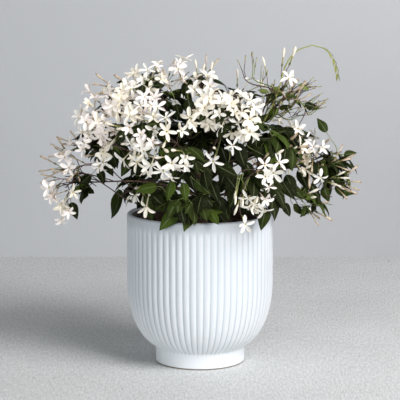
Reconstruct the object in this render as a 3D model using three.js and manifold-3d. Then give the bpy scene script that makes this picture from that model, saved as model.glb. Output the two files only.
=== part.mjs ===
// Potted jasmine: a small climbing shrub in flower, in a nursery pot inside a ribbed ceramic planter.
// Millimetres, +Z up. The origin is the middle of the planter's flat underside, and the plant's front
// faces -Y.

import * as THREE from "three";
import { mergeVertices } from "three/addons/utils/BufferGeometryUtils.js";
import Module from "manifold-3d";

const wasm = await Module();
wasm.setup();

const UP = new THREE.Vector3(0, 0, 1);
const CLEARANCE = 0.3; // running gap between two pieces that touch on the real plant

// The ceramic planter: a straight upper wall, a bowl that curves in below it, and a plain foot.
const PLANTER = {
  radius: 75,
  height: 155,
  wall: 5,
  footRadius: 46,
  footEdge: 1,
  footSides: 36,
  bowlAxis: 30, // radius of the circle on which the bowl's curve is centred
  bowlTop: 88, // height where the bowl's curve meets the straight wall
  bowlDepth: 74,
  bowlFullness: 2.3, // 2 is an ellipse, more is squarer
  bowlRings: [0, 0.12, 0.42, 1], // closer where the curve is tight
  ribs: 67,
  ribDepth: 1.5,
  ribTop: 139, // height above which the ribs fade out
  smoothTop: 149, // height above which the wall is plain
  lipRound: 2,
  floor: 14,
  floorRound: 6,
  sides: 32, // sides of the round inner surfaces
};

// The nursery pot inside the planter, and the potting soil that fills it.
const LINER = {
  rimRadius: 62,
  rimWidth: 3.5,
  rimHeight: 7,
  rimRound: 1,
  baseRadius: 42,
  wall: 1.4,
  top: 149,
  sides: 24,
};
const SOIL_TOP = 143;
const SOIL_EDGE = 0.6; // the soil's slack inside the nursery pot, and the rounding of its edge

// The short woody stem from which every bough springs.
const TRUNK = {
  flareRadius: 9,
  neckRadius: 5,
  headRadius: 4,
  flareHeight: 9,
  height: 42,
  lean: [2, 1],
  sides: 8,
  rings: 5,
};

// Boughs. leave and arrive are the shares of the span over which a bough keeps its first and last heading.
const BOUGH = { footRadius: 1.8, tipRadius: 1.3, sides: 4, rings: 3, leave: 0.45, arrive: 0.3 };
const BOUGH_SWING = 0.19; // radians by which a bough that meets another swings aside
const BOUGH_SHIFT = 0.03; // share of the trunk's height by which it also moves down
const BOUGH_TRIES = 90;
const LOWEST_BOUGH = 0.16; // as shares of the trunk's height
const HIGHEST_BOUGH = 0.92;

// The long green shoot that arches over at the top right.
const SHOOT = {
  footRadius: 1.5,
  topRadius: 0.9,
  tipRadius: 0.6,
  sides: 4,
  rings: 10,
  fallRings: 4,
  firstLeaf: 8,
  leafEvery: 14,
  leafLength: 9,
};

// Stems and twigs inside a mass of foliage, and what grows on them.
const TWIG = { stemRadius: 1.6, stemTip: 1.2, radius: 1, tip: 0.75, sides: 3, swell: 0.15 };
const LEAF = { length: 38, width: 18, thickness: 0.8, widest: 0.42 };
const FLOWER = { tube: 18, face: 11, notch: 3.2, neck: 1.2, cup: 2.6, throat: 1.6 };
const BUD = { length: 22, width: 2.6, widest: 0.72 };
const SUNK = 3; // how deep the foot of a flower or bud lies in the end of its twig

// The habit by which a mass grows. Shares are of the mass's reach, its stem's length or a twig's length.
const HABIT = {
  stemPast: 0.25, // how far the stem runs past the middle of its mass
  stemTries: 12,
  firstTwig: 0.12,
  lastTwig: 0.98,
  shortestTwig: 6,
  lean: 0.55, // how far twigs lean away from the heart, and upwards
  lift: 0.1,
  firstLeaf: 0.86,
  leafStep: 0.42,
  overhang: 1.18, // how far leaves and petals may stand out of the mass's reach
  tries: 8, // how often a leaf, flower or bud is turned to find room
};
const SLIVER = 0.02; // detail finer than this is smoothed away where pieces join

// The point inside the crown that every mass of foliage looks away from.
const HEART = new THREE.Vector3(0, 0, 190);

// The masses of foliage. at is the middle of each and reach its half extents. The last four numbers are
// its twigs, and the mean number of leaf pairs, flowers and buds that a twig of it carries.
const MASSES = [
  ["left_low", [-121, -5, 186], [46, 38, 28], 7, 0.7, 0.5, 0.9],
  ["left_middle", [-106, 0, 231], [32, 38, 30], 6, 0.7, 0.8, 0],
  ["left_upper", [-82, 0, 268], [32, 36, 26], 6, 0.7, 0.8, 0.2],
  ["top_left", [-50, 8, 287], [28, 32, 27], 5, 0.8, 0.8, 0.2],
  ["top_middle", [0, 0, 289], [35, 34, 24], 6, 0.7, 0.8, 0.3],
  ["front_left", [-56, -62, 245], [33, 33, 30], 6, 0.9, 0.9, 0],
  ["front_middle", [-18, -78, 222], [32, 32, 30], 6, 0.8, 0.9, 0],
  ["centre_right", [29, -60, 262], [34, 34, 30], 7, 0.7, 1, 0],
  ["right_upper", [86, 0, 272], [39, 38, 37], 7, 0.5, 0.3, 1.2],
  ["right_inner", [79, -38, 234], [31, 32, 26], 5, 1.2, 0.4, 0],
  ["right_outer", [131, 0, 205], [38, 38, 35], 7, 1, 0.4, 0.3],
  ["right_low", [110, -18, 172], [42, 36, 22], 6, 1.5, 0, 0.3],
  ["front_right", [56, -70, 196], [33, 32, 32], 6, 1, 0.6, 0.3],
  ["front_low", [-8, -62, 174], [40, 30, 25], 7, 1.8, 0, 0],
  ["front_low_left", [-64, -45, 178], [30, 32, 27], 5, 1.2, 0.4, 0],
  ["heart", [2, 5, 230], [44, 40, 36], 6, 1.8, 0, 0],
  ["back_left", [-86, 78, 220], [38, 38, 36], 6, 1, 0.4, 0],
  ["back_middle", [0, 96, 220], [42, 36, 38], 6, 1, 0.4, 0],
  ["back_right", [88, 76, 214], [38, 38, 36], 6, 1, 0.4, 0],
  ["back_top_left", [-42, 62, 268], [34, 34, 30], 5, 1, 0.5, 0],
  ["back_top_right", [38, 62, 266], [34, 34, 30], 5, 1, 0.5, 0],
  ["back_low_left", [-52, 64, 178], [38, 32, 25], 5, 1.4, 0, 0],
  ["back_low_right", [48, 64, 176], [38, 32, 25], 5, 1.4, 0, 0],
].map(([name, at, reach, twigs, leafPairs, flowers, buds], index) => ({
  name,
  seed: index + 1,
  at: new THREE.Vector3(...at),
  reach: new THREE.Vector3(...reach),
  twigs,
  leafPairs,
  flowers,
  buds,
}));

const COLOURS = {
  ceramic: { color: 0xe9ecee, roughness: 0.55 },
  terracotta: { color: 0x6b3d2b, roughness: 0.7 },
  soil: { color: 0x2b2019, roughness: 1 },
  bark: { color: 0x4a3428, roughness: 0.85 },
  shoot: { color: 0x87a04c, roughness: 0.6 },
  foliage: { color: 0x3f5f34, roughness: 0.5 },
};

function material(name) {
  return new THREE.MeshStandardMaterial({ ...COLOURS[name], metalness: 0 });
}

// Solids and geometries

function solidOf(geometry) {
  const bare = geometry.index ? geometry.toNonIndexed() : geometry.clone();
  bare.deleteAttribute("normal");
  bare.deleteAttribute("uv");
  const merged = mergeVertices(bare, 1e-4);
  const triangles = [];
  const corners = merged.index.array;
  for (let i = 0; i < corners.length; i += 3) {
    const [a, b, c] = [corners[i], corners[i + 1], corners[i + 2]];
    if (a !== b && b !== c && c !== a) triangles.push(a, b, c);
  }
  return new wasm.Manifold(
    new wasm.Mesh({
      numProp: 3,
      vertProperties: new Float32Array(merged.attributes.position.array),
      triVerts: new Uint32Array(triangles),
    }),
  );
}

function geometryOf(solid) {
  const mesh = solid.getMesh();
  const geometry = new THREE.BufferGeometry();
  const positions = new Float32Array(mesh.numVert * 3);
  for (let i = 0; i < mesh.numVert; i++) {
    positions.set(mesh.vertProperties.subarray(i * mesh.numProp, i * mesh.numProp + 3), i * 3);
  }
  geometry.setAttribute("position", new THREE.BufferAttribute(positions, 3));
  geometry.setIndex(new THREE.BufferAttribute(mesh.triVerts, 1));
  const faceted = geometry.toNonIndexed();
  faceted.computeVertexNormals();
  return faceted;
}

// The largest single body of a solid, without loose scraps and with sealed hollows filled.
function largestBody(solid) {
  return solid.decompose().reduce((best, body) => (body.volume() > best.volume() ? body : best));
}

// A profile of [radius, height] pairs turned about Z.
function turned(profile, sides) {
  const points = profile.map(([radius, height]) => new THREE.Vector2(radius, height));
  return new THREE.LatheGeometry(points, sides).rotateX(Math.PI / 2);
}

// Whether a point of a turned shape is on every other edge of it, counted from the seam at the front.
function isOddEdge(x, y, edges) {
  return Math.round((Math.atan2(x, -y) * edges) / (2 * Math.PI)) % 2 !== 0;
}

function steps(from, to, count) {
  return Array.from({ length: count + 1 }, (_, i) => from + ((to - from) * i) / count);
}

// Planter, nursery pot and soil

function bowlRadius(height) {
  const { radius, bowlAxis, bowlTop, bowlDepth, bowlFullness: n } = PLANTER;
  const drop = Math.max(0, (bowlTop - height) / bowlDepth);
  return bowlAxis + (radius - bowlAxis) * Math.max(0, 1 - drop ** n) ** (1 / n);
}

function bowlHeight(radius) {
  const { bowlAxis, bowlTop, bowlDepth, bowlFullness: n } = PLANTER;
  const out = (radius - bowlAxis) / (PLANTER.radius - bowlAxis);
  return bowlTop - bowlDepth * (1 - out ** n) ** (1 / n);
}

// Moves every other edge of the round wall in, so that the ribs stand out between the grooves.
function ribbed(geometry) {
  const { ribs, ribDepth, ribTop, smoothTop, bowlAxis } = PLANTER;
  const position = geometry.attributes.position;
  for (let i = 0; i < position.count; i++) {
    const [x, y, z] = [position.getX(i), position.getY(i), position.getZ(i)];
    const radius = Math.hypot(x, y);
    if (radius < bowlAxis || !isOddEdge(x, y, ribs * 2)) continue;
    const fade = THREE.MathUtils.clamp((smoothTop - z) / (smoothTop - ribTop), 0, 1);
    const scale = 1 - (ribDepth * fade) / radius;
    position.setXY(i, x * scale, y * scale);
  }
  return geometry;
}

function makePlanter() {
  const { radius, height, wall, footRadius, footEdge, footSides, bowlTop, bowlRings } = PLANTER;
  const { ribs, ribDepth, ribTop, smoothTop, lipRound, floor, floorRound, sides } = PLANTER;
  const junction = bowlHeight(footRadius + ribDepth);
  const bowl = bowlRings.map((share) => junction + (bowlTop - junction) * share);
  const outside = [[0, junction], ...bowl.map((z) => [bowlRadius(z), z]),
    [radius, ribTop], [radius, smoothTop], [radius - lipRound / 4, height - lipRound],
    [radius - lipRound, height], [0, height]];
  const body = solidOf(ribbed(turned(outside, ribs * 2)));
  const foot = solidOf(turned([[0, 0], [footRadius - footEdge, 0], [footRadius, footEdge],
    [footRadius, junction + footEdge * 2], [0, junction + footEdge * 2]], footSides));
  const inset = wall + ribDepth;
  const hollowFoot = floor + floorRound;
  const inside = [[0, floor], [bowlRadius(hollowFoot) - inset - floorRound, floor],
    ...steps(hollowFoot, bowlTop, 3).map((z) => [bowlRadius(z) - inset, z]),
    [radius - inset, height - lipRound], [radius - wall, height + 1], [0, height + 1]];
  const hollow = solidOf(turned(inside, sides));
  return body.add(foot).subtract(hollow);
}

// The nursery pot is let down until its base meets the bowl's slope.
function linerSeat() {
  const inset = PLANTER.wall + PLANTER.ribDepth;
  return bowlHeight(LINER.baseRadius + inset + CLEARANCE) + CLEARANCE;
}

function makeLiner() {
  const { rimRadius, rimWidth, rimHeight, rimRound, baseRadius, wall, top, sides } = LINER;
  const seat = linerSeat();
  const shoulder = top - rimHeight;
  const inside = rimRadius - rimWidth;
  const profile = [[0, seat], [baseRadius, seat], [inside + wall, shoulder], [rimRadius, shoulder],
    [rimRadius, top - rimRound], [rimRadius - rimRound, top], [inside, top],
    [inside - wall / 4, top - rimRound], [inside - wall / 4, shoulder],
    [baseRadius - wall, seat + wall], [0, seat + wall]];
  return solidOf(turned(profile, sides));
}

function makeSoil() {
  const { rimRadius, rimWidth, rimHeight, baseRadius, wall, top, sides } = LINER;
  const seat = linerSeat() + wall + CLEARANCE;
  const shoulder = top - rimHeight;
  const slack = 2 * CLEARANCE + SOIL_EDGE;
  const edge = rimRadius - rimWidth - slack;
  const profile = [[0, seat], [baseRadius - wall - slack, seat], [edge, shoulder - SOIL_EDGE],
    [edge, SOIL_TOP - SOIL_EDGE], [edge - SOIL_EDGE, SOIL_TOP], [0, SOIL_TOP]];
  return solidOf(turned(profile, sides));
}

// Limbs

// A tapered piece along a curve, with a ring of corners at each of the places, which run from 0 at its
// foot to 1 at its tip. radiusAt gives its radius there, and where that is nothing it comes to a point.
function limb(curve, radiusAt, sides, places) {
  const count = places.length - 1;
  const geometry = new THREE.CylinderGeometry(1, 1, 1, sides, count).toNonIndexed();
  const frames = curve.computeFrenetFrames(count, false);
  const position = geometry.attributes.position;
  for (let i = 0; i < position.count; i++) {
    const step = Math.round((position.getY(i) + 0.5) * count);
    const radius = radiusAt(places[step]);
    const point = curve.getPoint(places[step])
      .addScaledVector(frames.normals[step], position.getZ(i) * radius)
      .addScaledVector(frames.binormals[step], position.getX(i) * radius);
    position.setXYZ(i, point.x, point.y, point.z);
  }
  return solidOf(geometry);
}

function taper(from, to) {
  return (t) => from + (to - from) * t;
}

const trunkFoot = new THREE.Vector3(0, 0, SOIL_TOP);
const trunkHead = trunkFoot.clone().add(new THREE.Vector3(...TRUNK.lean, TRUNK.height));

function trunkRadius(t) {
  const flare = Math.max(0, 1 - (t * TRUNK.height) / TRUNK.flareHeight);
  const stem = taper(TRUNK.neckRadius, TRUNK.headRadius)(t);
  return stem + (TRUNK.flareRadius - TRUNK.neckRadius) * flare ** 2;
}

// The stem is cut flat at the soil, and extra makes it larger all round.
function makeTrunk(extra = 0) {
  const line = new THREE.LineCurve3(trunkFoot, trunkHead.clone().addScaledVector(UP, extra));
  const radiusAt = (t) => trunkRadius(t) + extra;
  const block = 4 * TRUNK.flareRadius;
  const ground = new THREE.BoxGeometry(block, block, block)
    .translate(0, 0, SOIL_TOP + CLEARANCE - block / 2);
  return limb(line, radiusAt, TRUNK.sides, steps(0, 1, TRUNK.rings)).subtract(solidOf(ground));
}

// A bough leaves the trunk at a height from 0 to 1 and towards turn, and arrives heading for its mass.
function boughCurve(mass, height, turn) {
  const foot = trunkFoot.clone().lerp(trunkHead, height);
  const root = mass.root;
  const span = foot.distanceTo(root);
  const climb = Math.min(1, Math.max(0.15, (root.z - foot.z) / span));
  const outward = new THREE.Vector3(Math.cos(turn), Math.sin(turn), 0.25 + climb).normalize();
  const arrival = mass.at.clone().sub(root).normalize();
  return new THREE.CubicBezierCurve3(
    foot,
    foot.clone().addScaledVector(outward, span * BOUGH.leave),
    root.clone().addScaledVector(arrival, -span * BOUGH.arrive),
    root,
  );
}

function makeBough(curve, extra = 0) {
  const radiusAt = (t) => taper(BOUGH.footRadius, BOUGH.tipRadius)(t) + extra;
  return limb(curve, radiusAt, BOUGH.sides, steps(0, 1, BOUGH.rings));
}

// The arching shoot: its rising half leaves the trunk's head, and its falling half hangs from the top.
const shootRise = new THREE.CatmullRomCurve3([
  trunkFoot.clone().lerp(trunkHead, 0.8),
  new THREE.Vector3(30, -12, 212),
  new THREE.Vector3(62, -14, 246),
  new THREE.Vector3(79, -8, 280),
  new THREE.Vector3(86, -3, 304),
  new THREE.Vector3(97, 0, 319),
  new THREE.Vector3(113, 0, 325.5),
]);
const shootTop = shootRise.getPoint(1);
const shootFall = new THREE.CatmullRomCurve3([
  shootTop.clone().addScaledVector(shootRise.getTangent(1), CLEARANCE * 1.5),
  new THREE.Vector3(127, -1, 321),
  new THREE.Vector3(134, -2, 312),
  new THREE.Vector3(138, -3, 301),
  new THREE.Vector3(139.5, -4, 291),
]);

const riseRadius = taper(SHOOT.footRadius, SHOOT.topRadius);
const fallRadius = taper(SHOOT.topRadius, SHOOT.tipRadius);

function shootLimbs(extra) {
  return wasm.Manifold.union([
    limb(shootRise, (t) => riseRadius(t) + extra, SHOOT.sides, steps(0, 1, SHOOT.rings)),
    limb(shootFall, (t) => fallRadius(t) + extra, SHOOT.sides, steps(0, 1, SHOOT.fallRings)),
  ]);
}

// Leaves, flowers and buds: each is made with its foot at the origin, along +X, with its face to +Z

// Eight faces: a point at each end, and four corners where it is widest.
function spindle(length, widest, width, thickness) {
  const geometry = new THREE.OctahedronGeometry(1);
  const position = geometry.attributes.position;
  for (let i = 0; i < position.count; i++) {
    const along = (position.getX(i) + 1) / 2;
    const isEnd = along < 0.01 || along > 0.99;
    position.setXYZ(i, (isEnd ? along : widest) * length,
      (position.getY(i) * width) / 2, (position.getZ(i) * thickness) / 2);
  }
  return geometry;
}

function leafShape(length) {
  return spindle(length, LEAF.widest, (LEAF.width * length) / LEAF.length, LEAF.thickness);
}

function budShape(length) {
  return spindle(length, BUD.widest, BUD.width, BUD.width);
}

// A slim five-sided tube that opens into a star of five petals.
function flowerShape() {
  const { tube, face, notch, neck, cup, throat } = FLOWER;
  const geometry = turned([[0, 0], [neck, tube], [face, tube + cup], [0, tube + throat]], 10);
  const position = geometry.attributes.position;
  const point = new THREE.Vector3();
  for (let i = 0; i < position.count; i++) {
    point.fromBufferAttribute(position, i);
    const radius = Math.hypot(point.x, point.y);
    if (radius < neck / 2 || !isOddEdge(point.x, point.y, 10)) continue;
    if (radius > neck * 2) {
      position.setXYZ(i, (point.x * notch) / face, (point.y * notch) / face, point.z - cup / 2);
    } else {
      point.applyAxisAngle(UP, Math.PI / 5);
      position.setXYZ(i, point.x, point.y, point.z);
    }
  }
  return geometry.rotateY(Math.PI / 2);
}

// Turned so that +X points along and +Z as near as it can to face, then moved to its foot.
function planted(geometry, foot, along, face) {
  const side = new THREE.Vector3().crossVectors(face, along).normalize();
  const normal = new THREE.Vector3().crossVectors(along, side).normalize();
  const matrix = new THREE.Matrix4().makeBasis(along, side, normal).setPosition(foot);
  return geometry.applyMatrix4(matrix);
}

// The rule by which a mass of foliage grows

// Repeatable numbers from 0 to 1.
function seeded(seed) {
  let state = (seed * 0x9e3779b1) >>> 0;
  return () => {
    state = (state + 0x6d2b79f5) >>> 0;
    let mixed = Math.imul(state ^ (state >>> 15), state | 1);
    mixed ^= mixed + Math.imul(mixed ^ (mixed >>> 7), mixed | 61);
    return ((mixed ^ (mixed >>> 14)) >>> 0) / 4294967296;
  };
}

function jitter(random, amount) {
  const draws = [random(), random(), random()];
  return new THREE.Vector3(...draws.map((value) => (value * 2 - 1) * amount));
}

// The share of space that belongs to a mass: nearer to it than to any other, counted from the spheres
// of their mean reach, so that two masses meet in a plane.
function power(mass, point) {
  const mean = (mass.reach.x + mass.reach.y + mass.reach.z) / 3;
  return point.distanceToSquared(mass.at) - mean * mean;
}

function isOwn(mass, point) {
  const own = power(mass, point);
  const stretch = point.clone().sub(mass.at).divide(mass.reach).length();
  return stretch < HABIT.overhang && MASSES.every((other) => {
    const apart = other.at.distanceTo(mass.at);
    return other === mass || power(other, point) - own > CLEARANCE * 2 * apart;
  });
}

// Evenly spread directions, leaning away from the heart.
function spreadDirection(index, count, turn, out) {
  const height = 1 - (2 * (index + 0.5)) / count;
  const ring = Math.sqrt(1 - height * height);
  const angle = turn + index * Math.PI * (3 - Math.sqrt(5));
  return new THREE.Vector3(ring * Math.cos(angle), ring * Math.sin(angle), height)
    .addScaledVector(out, HABIT.lean).addScaledVector(UP, HABIT.lift).normalize();
}

// Where a mass's bough ends: the last point on the way to the heart that is well inside the mass's space.
function rootOf(mass) {
  const walk = steps(0, 1, 60).map((t) => mass.at.clone().lerp(HEART, t));
  const end = walk.findIndex((point) => !isOwn(mass, point));
  return walk[Math.max(0, (end < 0 ? walk.length : end) - 3)];
}

// How many the twig with this number carries, so that all twigs together come to the mean rate.
function share(rate, twig) {
  return Math.floor((twig + 1) * rate + 0.5) - Math.floor(twig * rate + 0.5);
}

// The stem runs on from its bough to past the middle of the mass. It bends aside until it clears the
// other limbs.
function placeStem(mass, bough, otherLimbs, random) {
  const along = bough.getTangent(1);
  const root = bough.getPoint(1).addScaledVector(along, CLEARANCE);
  const past = mass.out.clone().multiply(mass.reach).multiplyScalar(HABIT.stemPast);
  const radiusAt = taper(TWIG.stemRadius, TWIG.stemTip);
  let stem;
  let solid;
  for (let attempt = 0; attempt < HABIT.stemTries; attempt++) {
    const end = mass.at.clone().add(past).add(jitter(random, attempt));
    const bend = root.clone().addScaledVector(along, root.distanceTo(end) / 2);
    stem = new THREE.QuadraticBezierCurve3(root, bend, end);
    solid = limb(stem, radiusAt, TWIG.sides, [0, 0.5, 1]);
    if (isOwn(mass, end) && solid.intersect(otherLimbs).isEmpty()) break;
  }
  return [stem, solid];
}

// A twig leaves the stem at a pointed foot, and ends a flower's length short of the mass's edge.
function placeTwig(mass, stem, k, turn) {
  const way = spreadDirection(k, mass.twigs, turn, mass.out);
  const edge = way.clone().multiply(mass.reach);
  const isLeafy = share(mass.flowers, k) + share(mass.buds, k) === 0;
  const carried = isLeafy ? LEAF.length * 0.7 : FLOWER.tube;
  const tip = mass.at.clone().addScaledVector(edge, Math.max(0.3, 1 - carried / edge.length()));
  const { firstTwig, lastTwig } = HABIT;
  const base = stem.getPoint(firstTwig + ((lastTwig - firstTwig) * (k + 0.5)) / mass.twigs);
  const radiusAt = (t) => (t === 0 ? 0 : taper(TWIG.radius, TWIG.tip)(t));
  const solid = limb(new THREE.LineCurve3(base, tip), radiusAt, TWIG.sides, [0, TWIG.swell, 1]);
  return { way, base, tip, direction: tip.clone().sub(base).normalize(), solid };
}

function growMass(mass, bough, otherLimbs, allLimbs) {
  const random = seeded(mass.seed);
  const turn = random() * Math.PI * 2;
  const [stem, stemSolid] = placeStem(mass, bough, otherLimbs, random);
  const wood = [stemSolid];
  const grown = [];

  // Whether a piece stays in the mass's own space and clear of every limb.
  function fits(solid) {
    const { numProp, vertProperties } = solid.getMesh();
    for (let i = 0; i < vertProperties.length; i += numProp) {
      if (!isOwn(mass, new THREE.Vector3().fromArray(vertProperties, i))) return false;
    }
    return solid.intersect(allLimbs).isEmpty();
  }

  // A leaf, flower or bud also keeps clear of those before it. It is turned a few times until it fits,
  // and otherwise skipped.
  function grow(makeGeometry) {
    for (let attempt = 0; attempt < HABIT.tries; attempt++) {
      const solid = solidOf(makeGeometry(attempt / HABIT.tries));
      if (!fits(solid) || grown.some((other) => !solid.intersect(other).isEmpty())) continue;
      grown.push(solid);
      return;
    }
  }

  function growFlowers(twig, count) {
    for (let j = 0; j < count; j++) {
      const foot = twig.tip.clone().addScaledVector(twig.direction, -SUNK * (1 + j));
      grow((strain) => {
        const way = twig.way.clone().add(jitter(random, 0.35 + 0.5 * j + 0.8 * strain)).normalize();
        return planted(flowerShape(), foot, way, jitter(random, 1));
      });
    }
  }

  function growBuds(twig, count) {
    for (let j = 0; j < count; j++) {
      const foot = twig.tip.clone().addScaledVector(twig.direction, -SUNK * (1 + 0.4 * j));
      const length = BUD.length * (0.8 + 0.4 * random());
      grow((strain) => {
        const way = twig.way.clone().add(jitter(random, 0.4 + 0.6 * strain)).normalize();
        return planted(budShape(length), foot, way, UP);
      });
    }
  }

  function growLeafPair(twig, foot) {
    const side = new THREE.Vector3().crossVectors(twig.direction, UP).normalize();
    for (const hand of [-1, 1]) {
      const length = LEAF.length * (0.75 + 0.4 * random());
      grow((strain) => {
        const way = twig.direction.clone().multiplyScalar(0.6).addScaledVector(side, hand * 0.85)
          .addScaledVector(mass.out, 0.3).add(jitter(random, 0.3 + 0.9 * strain)).normalize();
        const face = UP.clone().addScaledVector(mass.out, 0.8).add(jitter(random, 0.4)).normalize();
        return planted(leafShape(length * (1 - 0.3 * strain)), foot, way, face);
      });
    }
  }

  for (let k = 0; k < mass.twigs; k++) {
    const twig = placeTwig(mass, stem, k, turn);
    if (twig.base.distanceTo(twig.tip) < HABIT.shortestTwig || !fits(twig.solid)) continue;
    wood.push(twig.solid);
    growFlowers(twig, share(mass.flowers, k));
    growBuds(twig, share(mass.buds, k));
    for (let j = 0; j < share(mass.leafPairs, k); j++) {
      growLeafPair(twig, twig.base.clone().lerp(twig.tip, HABIT.firstLeaf - HABIT.leafStep * j));
    }
  }
  return largestBody(wasm.Manifold.union([...wood, ...grown]).simplify(SLIVER));
}

// Small leaves in pairs along the falling half of the shoot, so that it isn't a bare wire.
function makeShootFall() {
  const pieces = [limb(shootFall, fallRadius, SHOOT.sides, steps(0, 1, SHOOT.fallRings))];
  const length = shootFall.getLength();
  for (let run = SHOOT.firstLeaf; run < length - SHOOT.leafLength / 2; run += SHOOT.leafEvery) {
    const foot = shootFall.getPointAt(run / length);
    const along = shootFall.getTangentAt(run / length);
    for (const hand of [-1, 1]) {
      const way = along.clone().add(new THREE.Vector3(0, hand, 0)).normalize();
      pieces.push(solidOf(planted(leafShape(SHOOT.leafLength), foot, way, UP)));
    }
  }
  return largestBody(wasm.Manifold.union(pieces).simplify(SLIVER));
}

// Assembly

function named(name, solid, materialName) {
  const mesh = new THREE.Mesh(geometryOf(solid), material(materialName));
  mesh.name = name;
  return mesh;
}

const trunkSeat = makeTrunk(CLEARANCE);
const margin = CLEARANCE * 1.6;

// Boughs to low masses spring from low on the trunk. Each swings aside until it clears the others.
function placeBoughs() {
  let placed = shootLimbs(CLEARANCE);
  const bySteepness = [...MASSES].sort((a, b) => steepness(a) - steepness(b));
  bySteepness.forEach((mass, rank) => {
    const height = LOWEST_BOUGH + ((HIGHEST_BOUGH - LOWEST_BOUGH) * rank) / (MASSES.length - 1);
    const bearing = Math.atan2(mass.root.y - trunkHead.y, mass.root.x - trunkHead.x);
    let thick;
    for (let attempt = 0; attempt < BOUGH_TRIES; attempt++) {
      const swing = Math.ceil(attempt / 2) * (attempt % 2 ? 1 : -1) * BOUGH_SWING;
      const shift = (attempt % 5) * BOUGH_SHIFT;
      mass.bough = boughCurve(mass, height - shift, bearing + swing);
      thick = makeBough(mass.bough, CLEARANCE).subtract(trunkSeat);
      if (thick.intersect(placed).isEmpty()) break;
    }
    placed = placed.add(thick);
  });
}

function steepness(mass) {
  const toRoot = mass.root.clone().sub(trunkHead);
  return toRoot.z / toRoot.length();
}

// The planter with its nursery pot as one block, a little larger all round.
function makePotGuard() {
  const outer = PLANTER.radius + margin;
  const inner = PLANTER.radius - PLANTER.wall - PLANTER.ribDepth - margin * 2;
  const top = PLANTER.height + margin;
  const profile = [[0, PLANTER.floor], [outer, PLANTER.floor], [outer, top], [inner, top],
    [LINER.rimRadius, LINER.top + margin], [0, LINER.top + margin]];
  return solidOf(turned(profile, PLANTER.sides));
}

MASSES.forEach((mass) => {
  mass.out = mass.at.clone().sub(HEART).normalize();
  mass.root = rootOf(mass);
});
placeBoughs();

const jasmine = new THREE.Group();
const pot = new THREE.Group();
const plant = new THREE.Group();
jasmine.add(pot, plant);
pot.add(named("planter", makePlanter(), "ceramic"));
pot.add(named("nursery_pot", makeLiner(), "terracotta"));
pot.add(named("soil", makeSoil(), "soil"));
plant.add(named("trunk", makeTrunk(), "bark"));

const guards = [makePotGuard(), makeTrunk(margin), shootLimbs(margin)];
const thickBoughs = MASSES.map((mass) => makeBough(mass.bough, margin));
const allLimbs = wasm.Manifold.union([...guards, ...thickBoughs]);

MASSES.forEach((mass, i) => {
  const bough = largestBody(makeBough(mass.bough).subtract(trunkSeat));
  const otherLimbs = wasm.Manifold.union([...guards, ...thickBoughs.filter((_, j) => j !== i)]);
  const foliage = growMass(mass, mass.bough, otherLimbs, allLimbs);
  plant.add(named("bough_" + mass.name, bough, "bark"));
  plant.add(named("foliage_" + mass.name, foliage, "foliage"));
});

const rise = limb(shootRise, riseRadius, SHOOT.sides, steps(0, 1, SHOOT.rings)).subtract(trunkSeat);
plant.add(named("shoot_rise", largestBody(rise), "shoot"));
plant.add(named("shoot_fall", makeShootFall(), "shoot"));

export default jasmine;
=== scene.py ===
import math
from functools import cache
from typing import NamedTuple

import bpy
import numpy as np
from bpy.props import FloatProperty, FloatVectorProperty, IntProperty, PointerProperty
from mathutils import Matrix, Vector, noise
from numpy.linalg import norm


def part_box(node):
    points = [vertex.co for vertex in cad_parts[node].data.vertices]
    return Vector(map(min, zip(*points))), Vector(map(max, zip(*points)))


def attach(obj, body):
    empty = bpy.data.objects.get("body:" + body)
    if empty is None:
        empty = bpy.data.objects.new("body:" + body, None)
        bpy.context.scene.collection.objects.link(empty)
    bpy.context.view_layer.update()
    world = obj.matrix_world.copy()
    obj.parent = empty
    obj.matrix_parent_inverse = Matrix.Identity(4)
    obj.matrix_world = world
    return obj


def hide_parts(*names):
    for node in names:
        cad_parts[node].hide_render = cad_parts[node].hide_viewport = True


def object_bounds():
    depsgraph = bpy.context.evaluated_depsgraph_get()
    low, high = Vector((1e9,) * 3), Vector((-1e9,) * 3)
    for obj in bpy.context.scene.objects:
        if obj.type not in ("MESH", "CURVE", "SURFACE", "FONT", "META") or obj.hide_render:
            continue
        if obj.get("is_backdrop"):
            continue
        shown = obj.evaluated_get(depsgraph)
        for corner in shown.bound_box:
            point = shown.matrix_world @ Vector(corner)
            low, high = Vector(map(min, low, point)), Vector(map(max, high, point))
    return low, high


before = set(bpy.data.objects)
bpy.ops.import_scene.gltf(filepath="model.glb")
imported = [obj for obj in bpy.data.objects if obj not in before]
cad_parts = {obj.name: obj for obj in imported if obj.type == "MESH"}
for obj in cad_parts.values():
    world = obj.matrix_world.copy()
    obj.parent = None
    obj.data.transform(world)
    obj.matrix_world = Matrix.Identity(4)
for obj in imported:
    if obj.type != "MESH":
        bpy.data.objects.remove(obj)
CAD_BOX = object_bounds()

bl_info = {
    "name": "Potted Jasmine",
    "version": (1, 0, 0),
    "blender": (4, 5, 0),
    "location": "View3D > Sidebar > Jasmine",
    "description": "Grows a jasmine in flower in a ribbed ceramic planter",
    "category": "Object",
}

# All sizes are in metres, +Z up, with the origin in the middle of the planter's flat underside. The
# plant's front faces -Y.
MM = 0.001
TAU = 2 * math.pi
UP = np.array([0.0, 0.0, 1.0])
BODY = "root"
MOST_TRIANGLES = 190_000  # in one piece
SENSOR_WIDTH = 36  # the camera's, in millimetres

# The seeds of the random draws for each kind of piece
CHIP_SEED, LEAF_SEED, FLOWER_SEED, BUD_SEED = 7, 11, 23, 31
STEM_SEED, FILL_SEED, PLACED_SEED = 1, 101, 501


# Settings


def srgb(red, green, blue):
    """A colour given as sRGB numbers from 0 to 255, as the linear numbers that a material holds."""
    parts = np.array([red, green, blue]) / 255
    linear = np.where(parts > 0.04045, ((parts + 0.055) / 1.055) ** 2.4, parts / 12.92)
    return tuple(float(part) for part in linear)


def distance(name, description, default):
    return FloatProperty(name=name, description=description, default=default, min=0,
                         unit="LENGTH", precision=4)


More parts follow.
